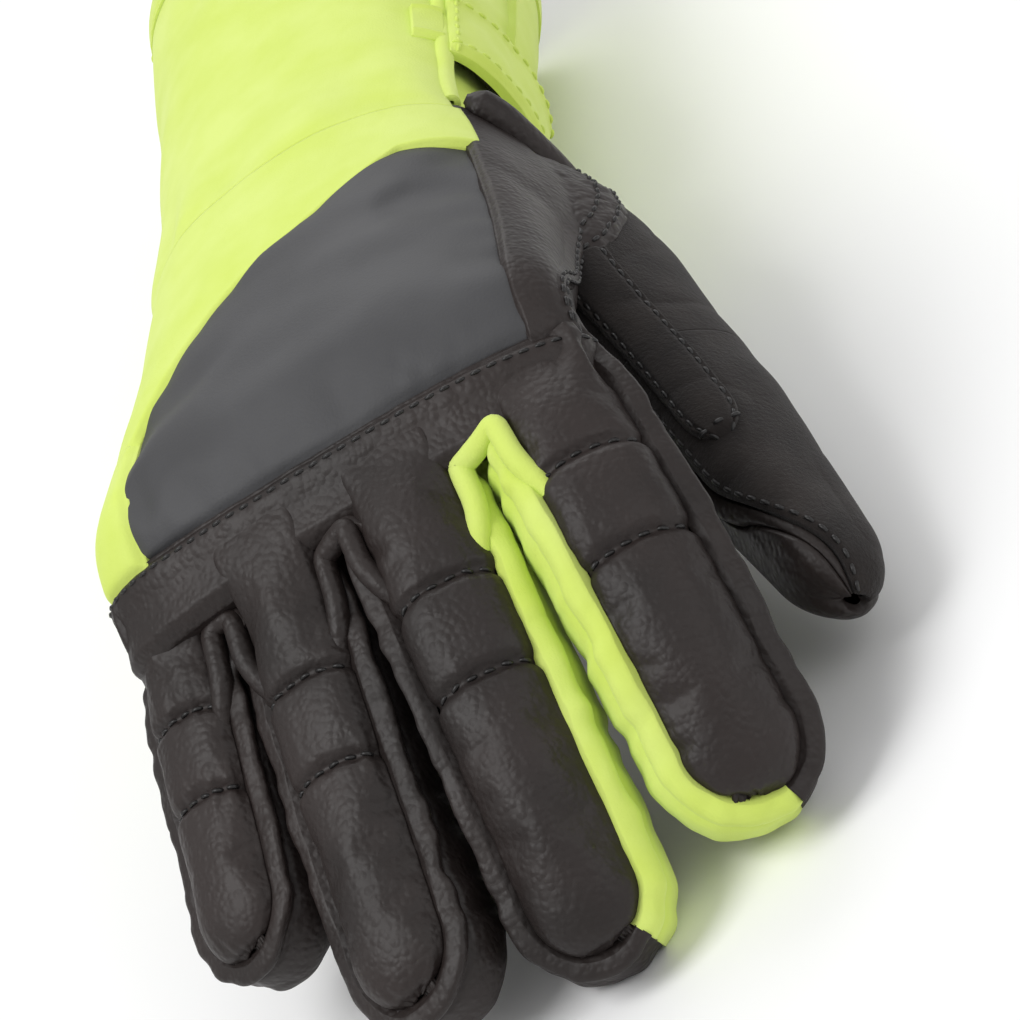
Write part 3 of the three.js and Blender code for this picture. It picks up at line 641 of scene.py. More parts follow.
def grain_leather(look):
    """Pebbled semi-gloss cowhide: tiny domed pebbles with thin dark valleys and a broken soft highlight."""
    material, tree, shader = new_material("Grain_leather")
    if tree is None:
        return material
    coords = node(tree, "TexCoord").outputs["Object"]
    warp = texture_noise(tree, coords, 0.004).outputs["Color"]
    moved = node(tree, "VectorMath", {"operation": "MULTIPLY_ADD"}, {0: warp, 2: coords})
    moved.inputs[1].default_value = (0.0012, 0.0012, 0.0012)
    pebble = node(tree, "TexVoronoi", {"feature": "SMOOTH_F1", "Scale": 1 / 0.00135, "Smoothness": 0.4},
                  {"Vector": moved.outputs[0]})
    fold = texture_noise(tree, coords, 0.009, 4.0, 0.5)
    cloud = texture_noise(tree, coords, 0.03)
    two_tone(tree, shader, ramp(tree, cloud.outputs["Fac"], 0.35, 0.7, 0.0, 1.0),
             look.leather, look.leather_light)
    rough = ramp(tree, fold.outputs["Fac"], 0.3, 0.7, 0.49, 0.56)
    tree.links.new(rough, shader.inputs["Roughness"])
    shader.inputs["Specular IOR Level"].default_value = 0.38
    wide = bump(tree, fold.outputs["Fac"], 0.0003, 0.1)
    tree.links.new(bump(tree, ramp(tree, pebble.outputs["Distance"], 0.0, 0.7, 1.0, 0.0), 0.00017, 0.8, wide),
                   shader.inputs["Normal"])
    return material


def suede(look):
    """Split suede: a soft dark nap without gloss, mottled where it is brushed one way or the other."""
    material, tree, shader = new_material("Suede")
    if tree is None:
        return material
    coords = node(tree, "TexCoord").outputs["Object"]
    nap = texture_noise(tree, coords, 0.0009, 4.0, 0.7)
    brushed = texture_noise(tree, coords, 0.012, 4.0)
    two_tone(tree, shader, ramp(tree, brushed.outputs["Fac"], 0.35, 0.68, 0.0, 1.0),
             look.suede, look.suede_light)
    shader.inputs["Roughness"].default_value = 0.92
    shader.inputs["Specular IOR Level"].default_value = 0.25
    shader.inputs["Sheen Weight"].default_value = 0.1
    shader.inputs["Sheen Roughness"].default_value = 0.5
    wide = bump(tree, brushed.outputs["Fac"], 0.0006, 0.6)
    tree.links.new(bump(tree, nap.outputs["Fac"], 0.00035, 0.9, wide), shader.inputs["Normal"])
    return material


def softshell(look):
    """Knitted polyester softshell: matte, with a very fine even texture that softens the light."""
    material, tree, shader = new_material("Yellow_softshell")
    if tree is None:
        return material
    coords = node(tree, "TexCoord").outputs["Object"]
    knit = texture_noise(tree, coords, 0.0005, 2.0)
    cloud = texture_noise(tree, coords, 0.02)
    two_tone(tree, shader, ramp(tree, cloud.outputs["Fac"], 0.35, 0.7, 0.0, 1.0),
             look.yellow, look.yellow_light)
    shader.inputs["Roughness"].default_value = 0.85
    shader.inputs["Specular IOR Level"].default_value = 0.25
    shader.inputs["Sheen Weight"].default_value = 0.15
    tree.links.new(bump(tree, knit.outputs["Fac"], 0.00012, 0.7), shader.inputs["Normal"])
    return material


def reflective(look):
    """Charcoal retroreflective film on cloth: smooth and matte, with a faint grain and grazing sheen."""
    material, tree, shader = new_material("Reflective_fabric")
    if tree is None:
        return material
    coords = node(tree, "TexCoord").outputs["Object"]
    grain = texture_noise(tree, coords, 0.0006, 2.0)
    cloud = texture_noise(tree, coords, 0.025)
    two_tone(tree, shader, ramp(tree, cloud.outputs["Fac"], 0.35, 0.7, 0.0, 1.0), look.grey, look.grey_light)
    shader.inputs["Roughness"].default_value = 0.62
    shader.inputs["Specular IOR Level"].default_value = 0.45
    tree.links.new(bump(tree, grain.outputs["Fac"], 0.00008, 0.8), shader.inputs["Normal"])
    return material


def fleece(look):
    """Brushed fleece: dark, deep and fluffy, with a pale rim where light grazes the fibres. Its colour carries
    painted shade: darker where the pile's bump is low and lighter on its high tips.
    """
    material, tree, shader = new_material("Fleece")
    if tree is None:
        return material
    coords = node(tree, "TexCoord").outputs["Object"]
    pile = texture_noise(tree, coords, 0.0016, 5.0, 0.75)
    # Painted shade: the same noise sets the pile's bump and its colour, so the pile is painted darker in its
    # hollows and lighter on its tips.
    two_tone(tree, shader, pile.outputs["Fac"], look.fleece, look.fleece_light)
    shader.inputs["Roughness"].default_value = 1.0
    shader.inputs["Sheen Weight"].default_value = 0.5
    tree.links.new(bump(tree, pile.outputs["Fac"], 0.0012, 1.0), shader.inputs["Normal"])
    return material


def hook_and_loop(look):
    """Hook-and-loop tape: a dense field of tiny dark loops."""
    material, tree, shader = new_material("Hook_and_loop")
    if tree is None:
        return material
    coords = node(tree, "TexCoord").outputs["Object"]
    loops = node(tree, "TexVoronoi", {"Scale": 1 / 0.0011}, {"Vector": coords})
    two_tone(tree, shader, loops.outputs["Distance"], look.fleece_light, look.fleece)
    shader.inputs["Roughness"].default_value = 0.9
    tree.links.new(bump(tree, loops.outputs["Distance"], 0.0007, 1.0), shader.inputs["Normal"])
    return material


def thread(look):
    """Waxed black sewing thread: a small tight highlight on each stitch."""
    material, tree, shader = new_material("Sewing_thread")
    if tree is None:
        return material
    shader.inputs["Base Color"].default_value = look.thread
    shader.inputs["Roughness"].default_value = 0.45
    return material


def plain(name, colour, roughness):
    material, tree, shader = new_material(name)
    if tree is not None:
        shader.inputs["Base Color"].default_value = colour
        shader.inputs["Roughness"].default_value = roughness
    return material


# ---- settings ----
def length_setting(name, description, default):
    return bpy.props.FloatProperty(name=name, description=description, default=default, unit="LENGTH",
                                   min=0.0, precision=5)


def colour_setting(name, description, code):
    return bpy.props.FloatVectorProperty(name=name, description=description, default=linear(code), size=4,
                                         subtype="COLOR", min=0.0, max=1.0)


class GloveSettings(bpy.types.PropertyGroup):
    """Sizes and colours of the glove's sewn pieces."""

    finger_loft: length_setting("Finger loft", "How far the quilted finger backs may swell", 0.0032)
    panel_loft: length_setting("Panel loft", "How far the reflective panel may swell", 0.0015)
    seam_depth: length_setting("Seam depth", "How far the leather dips at seams and quilting", 0.0012)
    roll_height: length_setting("Roll height", "Height of the rolled edges along the fingers", 0.0019)
    wrinkle: length_setting("Wrinkles", "Height of the small wrinkles in the leather", 0.0008)
    stitch_length: length_setting("Stitch length", "Length of one stitch", 0.0024)
    stitch_pitch: length_setting("Stitch pitch", "From one stitch to the next", 0.0031)
    leather: colour_setting("Leather", "Valleys and shaded leather", "1E1816")
    leather_light: colour_setting("Leather, rubbed", "Rubbed parts of the leather", "2A2220")
    suede: colour_setting("Suede", "Suede with the nap brushed down", "1E1A19")
    suede_light: colour_setting("Suede, brushed", "Suede with the nap brushed up", "2A2523")
    yellow: colour_setting("Softshell", "High-visibility yellow softshell", "CBDE64")
    yellow_light: colour_setting("Softshell, light", "Lighter patches of the softshell", "D3E47A")
    grey: colour_setting("Reflective", "Reflective panel", "3B3B3D")
    grey_light: colour_setting("Reflective, light", "Lighter patches of the reflective panel", "434345")
    # In the fleece, the first colour is painted shade in the pile's hollows and the second a painted lighter
    # tone on its tips; the hook-and-loop tape uses both as plain tones.
    fleece: colour_setting("Fleece", "Depth of the fleece", "161617")
    fleece_light: colour_setting("Fleece tips", "Tips of the fleece", "303032")
    thread: colour_setting("Thread", "Sewing thread", "151313")
    floor: colour_setting("Floor", "Studio floor", "F4F4F4")


# ---- sewing ----
def loft(share, sharp=0.5):
    """A pillow's height across it: 0 at both seams and 1 in the middle."""
    return np.clip(4 * share * (1 - share), 0, 1) ** sharp


def near(distance, reach):
    """1 at no distance, falling away over that reach."""
    return np.exp(-(distance / reach) ** 2)


def ripples(points, size, seed, amount):
    """Soft rolling wrinkles with thin creases between them, in millimetres."""
    return amount * (0.9 * noise(points, size, seed) + 0.5 * noise(points, size * 0.45, seed + 5)
                     - 1.0 * creases(points, size * 1.3, seed + 9))


def value_at(value, where):
    return value(where) if callable(value) else value


def panel(name, skin, angles, stations, steps, material, height, thick=SHELL, puff=None, fine=2):
    """A panel over the hand: skin gives a point for an angle and a distance, height its relief.
    Returns the object, its finished outer grid and the outward directions."""

    def shares(times):
        u, v = spread(steps[0] * times, steps[1] * times)
        angle = mix(angles[0], angles[1], v)
        return u, v, angle, mix(value_at(stations[0], angle), value_at(stations[1], angle), u)

    u, v, angle, s = shares(1)
    grid = skin(angle, s, 0.0)
    outward = skin(angle, s, 1.0) - grid
    if puff:
        pinned = (u < 1e-6) | (u > 1 - 1e-6) | (v < 1e-6) | (v > 1 - 1e-6)
        grid = puffed(grid, outward, pinned, *puff)
    grid, outward = refine(grid, fine), refine(outward, fine)
    u, v, angle, s = shares(fine)
    normals = normals_of(grid, outward)
    grid = grid + normals * np.asarray(height(angle, s, u, v, grid))[..., None]
    made = closed_piece(name, grid, grid - normals * thick, material)
    return made, grid, outward


def seam_dip(u, v, size, depth, ends=(True, True), sides=(True, True), reach=1.6):
    """The dip of a panel towards its seams, given its length and width in millimetres."""
    length, width = size
    edges = [(ends[0], u * length), (ends[1], (1 - u) * length),
             (sides[0], v * width), (sides[1], (1 - v) * width)]
    dip = np.zeros_like(u)
    for sewn, distance in edges:
        if sewn:
            dip = np.maximum(dip, near(distance, reach))
    return -depth * dip


def grey_rear(angle):
    """The reflective panel's rear edge, which runs back towards the thumb side."""
    share = np.clip((angle - GREY_LEFT) / GREY_REAR["over"], 0, 1)
    return GREY_REAR["left"] + GREY_REAR["rise"] * share ** GREY_REAR["ease"]


def knuckle_seam(angle):
    """The reflective panel's front seam, a little past the knuckle line."""
    return -8.0 - 1.5 * np.cos(np.radians(angle * 1.6))


HAND_TO_KNUCKLES = (tuple(row(np.array([0, 8.0, 8.0])) * MM),
                    tuple(row(place(np.array([0, -8.0, 8.0]), KNUCKLES)) * MM))
PALM_TO_KNUCKLES = (tuple(row(np.array([0, 12.0, -14.0])) * MM),
                    tuple(row(place(np.array([0, -10.0, -14.0]), KNUCKLES)) * MM))
HAND_TO_CUFF = (tuple(row(np.array([0, 87.0, 0])) * MM), tuple(row(np.array([0, 107.0, 0])) * MM))


def soft_blend(piece, bodies, reach, stands_for=(), slot=None, fill=None):
    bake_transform(piece)
    declare(stands_for)


def soft_ride(piece, body, stands_for=()):
    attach(piece, body)
    declare(stands_for)


def declare(stands_for):
    if stands_for:
        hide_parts(*stands_for)


class GLOVE_OT_reflective_panel(bpy.types.Operator):
    """Charcoal panel over the back of the hand, from the wrist's yellow edge to the knuckle seam"""

    bl_idname = "glove.reflective_panel"
    bl_label = "Reflective back panel"

    def execute(self, context):
        look = context.scene.glove

        def height(angle, s, u, v, grid):
            soft = 0.9 * noise(grid * np.array([0.4, 1, 1]), 10, 3) + 0.6 * noise(grid, 24, 8)
            pucker = 0.25 * noise(grid * np.array([1, 0.2, 1]), 2.6, 4) * near(s - knuckle_seam(angle), 6)
            return soft + pucker + seam_dip(u, v, (70, 90), 1.2, ends=(True, False), sides=(False, True))

        made, _, _ = panel("Reflective_back_panel", folded_skin, (GREY_LEFT - 5, GREY_RIGHT + 2),
                           (knuckle_seam, lambda a: grey_rear(a) + 4), (44, 56), reflective(look), height,
                           thick=1.2, puff=(0.008, 0.6, look.panel_loft / MM))
        soft_blend(made, ("hand", "knuckles"), HAND_TO_KNUCKLES, ("back_reflective_panel",),
                   "reflective_fabric", 0.3)
        return {"FINISHED"}


class GLOVE_OT_back_softshell(bpy.types.Operator):
    """Yellow softshell from the wrist to the reflective panel and down the little-finger side"""

    bl_idname = "glove.back_softshell"
    bl_label = "Back softshell"

    def execute(self, context):
        look = context.scene.glove
        def over(angle, s, u, v, grid):
            rim = 1.5 - 1.7 * near(u * 45, 1.1)
            return softshell_relief(grid) * smooth(-4, 19, s - grey_rear(angle)) + rim

        made, _, _ = panel("Back_softshell", wrist_skin, (BACK_LEFT, GREY_RIGHT + 2), (grey_rear, BACK_TO),
                           (40, 60), softshell(look), over)
        soft_ride(made, "hand", ("back_wrist_softshell",))

        def side(angle, s, u, v, grid):
            dip = seam_dip(u, v, (30, 30), 1.6, ends=(True, False), sides=(False, True))
            return softshell_relief(grid) * 0.6 + 1.3 + dip

        made, _, _ = panel("Side_softshell", folded_skin, (BACK_LEFT, GREY_LEFT + 1),
                           (lambda a: knuckle_seam(a) - 1, 21.0), (20, 20), softshell(look), side, fine=3)
        soft_blend(made, ("hand", "knuckles"), HAND_TO_KNUCKLES, ("back_side_panel",),
                   "yellow_softshell", 0.3)
        return {"FINISHED"}


def softshell_relief(grid):
    """Slanting soft folds of the softshell, in millimetres."""
    slant = grid @ np.array([[1, 0.25, 0], [-0.35, 0.45, 0], [0, 0, 1]])
    return 1.1 * noise(slant, 23, 31) + 0.6 * noise(slant, 10, 33) - 0.12 * creases(slant, 19, 35)


class GLOVE_OT_cuff(bpy.types.Operator):
    """Softshell cuff with its slit, gathers, hem and pull tab"""

    bl_idname = "glove.cuff"
    bl_label = "Cuff"

    def execute(self, context):
        look = context.scene.glove
        yellow = softshell(look)

        def gathered(angle, s):
            """Folds that fan out from the elastic at the wrist."""
            fan = np.sin(np.radians(angle * 9 + 40 * np.sin(np.radians(angle * 2.3)))) * near(s - 97, 15)
            return 1.2 * fan * smooth(BACK_TO, BACK_TO + 6, s)

        def relief(angle, s, grid):
            flat = 1 - smooth(182, 200, s)
            over = 1.2 * (1 - smooth(90, 120, s)) + 0.3
            away = 0.35 + 0.65 * smooth(0, 60, np.abs(angle - 15))
            return softshell_relief(grid) * (0.35 + 0.65 * flat) + over + gathered(angle, s) * away

        def edge(angle, s, u, v, grid):
            return relief(angle, s, grid) - 1.0 * near((1 - v) * 110, 1.5)

        def sunk(angle, s, u, v, grid):
            return -1.2 - 1.6 * np.sin(np.pi * v) + 0.6 * noise(grid, 6, 51)

        def under(angle, s, u, v, grid):
            return np.maximum(relief(angle, s, grid) * 0.6, -0.6) * smooth(0, 12, grid[..., 2])

        stations, bodies = (BACK_TO, HEM_FROM), ("hand", "cuff")
        back, _, _ = panel("Cuff_back", wrist_skin, (CUFF_SEAM - 360, SLIT[0]), stations, (64, 64),
                           yellow, edge)
        soft_blend(back, bodies, HAND_TO_CUFF, ("cuff_back", "wrist_gather"), "yellow_softshell", 0.3)
        gusset, _, _ = panel("Cuff_gusset", wrist_skin, (SLIT[0] - 2, SLIT[1] + 2), stations, (40, 10),
                             yellow, sunk, thick=1.4)
        soft_blend(gusset, bodies, HAND_TO_CUFF, ("cuff_gusset",), "yellow_softshell", 0.2)
        palm, _, _ = panel("Cuff_palm", wrist_skin, (SLIT[1], CUFF_SEAM), stations, (50, 60), yellow, under)
        soft_blend(palm, bodies, HAND_TO_CUFF, ("cuff_palm",), "yellow_softshell", 0.3)
        self.hem(look, yellow)
        self.slit(yellow)

        # Ribbed pull tab on the little-finger side.
        def ribbed(angle, s, u, v, grid):
            rims = near(v * 20, 1.2) + near((1 - v) * 20, 1.2)
            return 2.0 + 0.28 * np.sin(s * PULL_TAB["rib"]) - rims

        tab, _, _ = panel("Pull_tab", wrist_skin, PULL_TAB["angles"], PULL_TAB["stations"], (50, 24), yellow,
                          ribbed, thick=1.4)
        soft_ride(tab, "cuff", ("pull_tab",))
        return {"FINISHED"}

    def hem(self, look, yellow):
        """The softshell turned in over the lining, sewn down, and rounded at its end."""
        u, v = spread(60, 240)
        angle, far = 360 * v, CUFF_END - HEM_ROUND
        turned = np.clip((u - HEM_TURN) / (1 - 2 * HEM_TURN), 0, 1)
        bow = np.sin(np.pi * turned - np.pi / 2)
        inside = mix(far, HEM_FROM, (u - 1 + HEM_TURN) / HEM_TURN)
        s = np.where(u < HEM_TURN, mix(HEM_FROM, far, u / HEM_TURN),
                     np.where(u > 1 - HEM_TURN, inside, far + HEM_ROUND * np.cos(np.pi / 2 * bow)))
        lift = mix(0.6, -3.6, turned)
        waves = 0.35 * noise(wrist_skin(angle, s, lift), 9, 61) * (lift > 0)
        sewn = 0.5 * near(s - (HEM_FROM + HEM_SEAM), 1.0) * (lift > 0)
        outer = wrist_skin(angle, s, lift + waves - sewn)
        core = wrist_skin(angle, np.minimum(s, far - 0.1), -1.5)
        hem = closed_piece("Cuff_hem", outer, core + (outer - core) * 0.04, yellow, wrap=True)
        soft_ride(hem, "cuff", ("cuff_hem",))
        around = np.linspace(0, 360, 200)
        low, thread_at, high = [wrist_skin(around, HEM_FROM + HEM_SEAM, out) for out in (0.0, 0.35, 1.0)]
        sewn = stitches("Hem_stitches", [Line(thread_at, high - low)],
                        plain("Yellow_thread", look.yellow, 0.6))
        soft_ride(sewn, "cuff", ())

    def slit(self, yellow):
        """The slit's edge, rolled over on the side of the back."""
        u, v = spread(150, 14)
        s = mix(BACK_TO + 6, HEM_FROM, u)
        a = mix(-0.2, 1.25, v) * np.pi
        centre = wrist_skin(SLIT[0] - 0.5 + 1.2 * noise(stack(s, 0, 0), 14, 71), s, 0.2)
        side_way = wrist_skin(SLIT[0] + 1.0, s, 0.2) - wrist_skin(SLIT[0], s, 0.2)
        side_way /= np.linalg.norm(side_way, axis=-1, keepdims=True)
        up_way = wrist_skin(SLIT[0], s, 1.0) - wrist_skin(SLIT[0], s, 0.0)
        up_way /= np.linalg.norm(up_way, axis=-1, keepdims=True)
        size = (1.9 + 0.35 * noise(stack(s, 5, 0), 9, 73))[..., None]
        ring = (up_way * np.sin(a)[..., None] - side_way * np.cos(a)[..., None]) * size
        roll = closed_piece("Slit_roll", centre + ring, centre + ring * 0.35, yellow)
        soft_blend(roll, ("hand", "cuff"), HAND_TO_CUFF, (), "yellow_softshell", 0.5)


class GLOVE_OT_yoke(bpy.types.Operator):
    """Leather over the knuckles between the reflective panel's seam and the fingers"""

    bl_idname = "glove.yoke"
    bl_label = "Knuckle leather"

    def execute(self, context):
        look = context.scene.glove

        def height(angle, s, u, v, grid):
            folds = ripples(grid * np.array([1.0, 0.55, 0.8]), 14, 101, 0.16)
            pucker = 0.22 * noise(grid * np.array([1, 0.2, 1]), 2.8, 104) * near(s - knuckle_seam(angle), 6)
            lip = 0.8 * near((s - knuckle_seam(angle)) + 3.0, 3.0) - 1.2 * near(s - knuckle_seam(angle), 0.8)
            down = -np.maximum(0, -s - KNUCKLE_FRONT) ** 1.6 * 0.5
            return folds + pucker + lip + down + 0.9 * (1 - smooth(6, 20, -s))

        made, grid, out = panel("Knuckle_leather", folded_skin, KNUCKLE_SPAN,
                                (-24.0, lambda a: knuckle_seam(a) + 0.4), (16, 120), grain_leather(look),
                                height, fine=3)
        soft_ride(made, "knuckles", ("knuckle_leather",))
        sewn = stitches("Knuckle_seam_stitches", [line_on(grid, out, along=0.86, lift=0.1)], thread(look))
        soft_ride(sewn, "knuckles", ())
        return {"FINISHED"}


def finger_reach(f):
    """The stretch over which a finger's leather turns at its middle joint."""
    half = (f["quilt2"] - f["quilt1"]) / 2 + 1
    return finger_axis(f, joint_at(f) - half), finger_axis(f, joint_at(f) + half)


def finger_back_skin(f, s, across, lift=0.0):
    """The finger's back panel, which settles onto the knuckle leather as it runs back to its root."""
    points = finger_place(f, plate(f, s, across, 1, lift))
    local = unplace(points, KNUCKLES)
    half, deep, x0, z0 = section(local[..., 1])
    rho = np.clip(np.abs(local[..., 0] - x0) / half, 0, 0.93)
    skin = z0 + KNUCKLE_PIVOT[2] / 2 + (deep + lift + ROOT_PROUD) * crown(rho)
    share = 1 - smooth(f["web"] - 10, f["web"] + 4, s)
    local[..., 2] += (skin - local[..., 2]) * share
    return row(place(local, KNUCKLES))


class GLOVE_OT_finger_backs(bpy.types.Operator):
    """Quilted leather backs of the four fingers, from the knuckles round to the tips"""

    bl_idname = "glove.finger_backs"
    bl_label = "Finger backs"

    def execute(self, context):
        look = context.scene.glove
        for number, f in enumerate(FINGERS):
            self.finger(look, f, 200 + 20 * number)
        return {"FINISHED"}

    def finger(self, look, f, seed):
        steps, fine = (118, 24), 3
        start = f["web"] - 13
        depth = look.seam_depth / MM

        def shape(nu, nv):
            u, v = spread(nu, nv)
            across = 2 * v - 1
            end = back_end(f, across)
            s = mix(start, end, u)
            free = smooth(f["web"] - 8, f["web"] + 6, s)
            quilt = sum(near(s - q - QUILT_BOW * across ** 2, 1.3) for q in (f["quilt1"], f["quilt2"]))
            tip = near(end - s, 1.5)
            border = near(1 - np.abs(across), 0.12)
            pinned_dip = -depth * (quilt + 0.6 * border * free + 0.8 * tip) - 2.2 * (1 - free) * border
            return u, s, across, free, end, pinned_dip

        u, s, across, free, end, dip = shape(*steps)
        grid = finger_back_skin(f, s, across, 0.0)
        outward = finger_back_skin(f, s, across, 1.0) - grid
        grid = grid + normals_of(grid, outward) * dip[..., None]
        row_step = (f["length"] - start) / steps[0]
        held = (np.abs(across) > 0.999) | (u < 1e-6) | (u > 1 - 1e-6)
        for q in (f["quilt1"], f["quilt2"]):
            held |= np.abs(s - q - QUILT_BOW * across ** 2) < row_step * 0.75
        before = grid
        grid = puffed(grid, outward, held, 0.015, 4.0, look.finger_loft / MM)
        grid = mix(before, grid, (0.25 + 0.75 * smooth(f["web"] - 10, f["web"] + 10, s))[..., None])
        grid, outward = refine(grid, fine), refine(outward, fine)
        u, s, across, free, end, dip = shape(steps[0] * fine, steps[1] * fine)
        normals = normals_of(grid, outward)
        close = sum(near(s - q, 6) for q in (f["quilt1"], f["quilt2"])) + near(end - s, 5)
        pucker = noise(stack(across * 9, s * 0.2, seed), 1.7, seed) * close
        folds = ripples(grid, 12, seed + 3, 0.14) * (0.2 + 0.5 * (1 - free) + 0.5 * close)
        side = near(1 - np.abs(across), 0.22) * noise(stack(s, across, seed), 2.6, seed + 7)
        bulge = 0.0
        relief = look.wrinkle / MM * (0.35 * pucker + 0.35 * side) + folds + bulge
        grid = grid + normals * relief[..., None]
        title = f["name"].capitalize()
        made = closed_piece(title + "_back", grid, grid - normals * SHELL, grain_leather(look))
        bodies = ("knuckles", f["name"] + "_finger")
        soft_blend(made, bodies, finger_reach(f), (f["name"] + "_back_tip", f["name"] + "_flex_pad"),
                   "grain_leather", 0.8)
        lines = []
        for q in (f["quilt1"], f["quilt2"]):
            t = np.linspace(0.04, 0.96, 60)
            at = (q + QUILT_BOW * (2 * t - 1) ** 2 - start) / (back_end(f, 2 * t - 1) - start)
            i = np.rint(at * (grid.shape[0] - 1)).astype(int)
            j = np.rint(t * (grid.shape[1] - 1)).astype(int)
            lines.append(Line(grid[i, j], normals[i, j]))
        sewn = stitches(title + "_quilting", lines, thread(look),
                        look.stitch_length / MM, 0.45, look.stitch_pitch / MM, -0.1)
        soft_blend(sewn, bodies, finger_reach(f), (), "grain_leather")


class GLOVE_OT_finger_palms(bpy.types.Operator):
    """Leather palm sides of the four fingers"""

    bl_idname = "glove.finger_palms"
    bl_label = "Finger palms"

    def execute(self, context):
        look = context.scene.glove
        for number, f in enumerate(FINGERS):
            u, v = spread(220, 44)
            start = f["web"] - 14
            end = end_start(f) + f["half"] * TIP_ROUND * flank(PALM_EDGE) - 0.3
            s, across = mix(start, end, u), 2 * v - 1

            def skin(lift):
                return row(finger_place(f, plate(f, s, across, -1, lift)))

            grid = skin(0.0)
            outward = skin(1.0) - grid
            normals = normals_of(grid, outward)
            folds = -1.0 * near(s - joint_at(f), 3.5) * (0.6 + 0.4 * noise(grid, 4, 300 + number)) \
                - 0.7 * near(s - last_joint_at(f), 3)
            pad = 0.9 * loft(v) * smooth(f["web"], f["web"] + 12, s)
            dip = -1.0 * near(1 - np.abs(across), 0.1) - 1.2 * near(end - s, 1.4)
            back = -2.6 * (1 - smooth(start, f["web"] - 4, s))
            relief = folds + pad + dip + back + ripples(grid, 7, 310 + number, 0.4)
            grid = grid + normals * relief[..., None]
            made = closed_piece(f["name"].capitalize() + "_palm", grid, grid - normals * SHELL,
                                grain_leather(look))
            soft_blend(made, ("knuckles", f["name"] + "_finger"), finger_reach(f),
                       (f["name"] + "_palm_tip",), "grain_leather", 0.6)
        return {"FINISHED"}


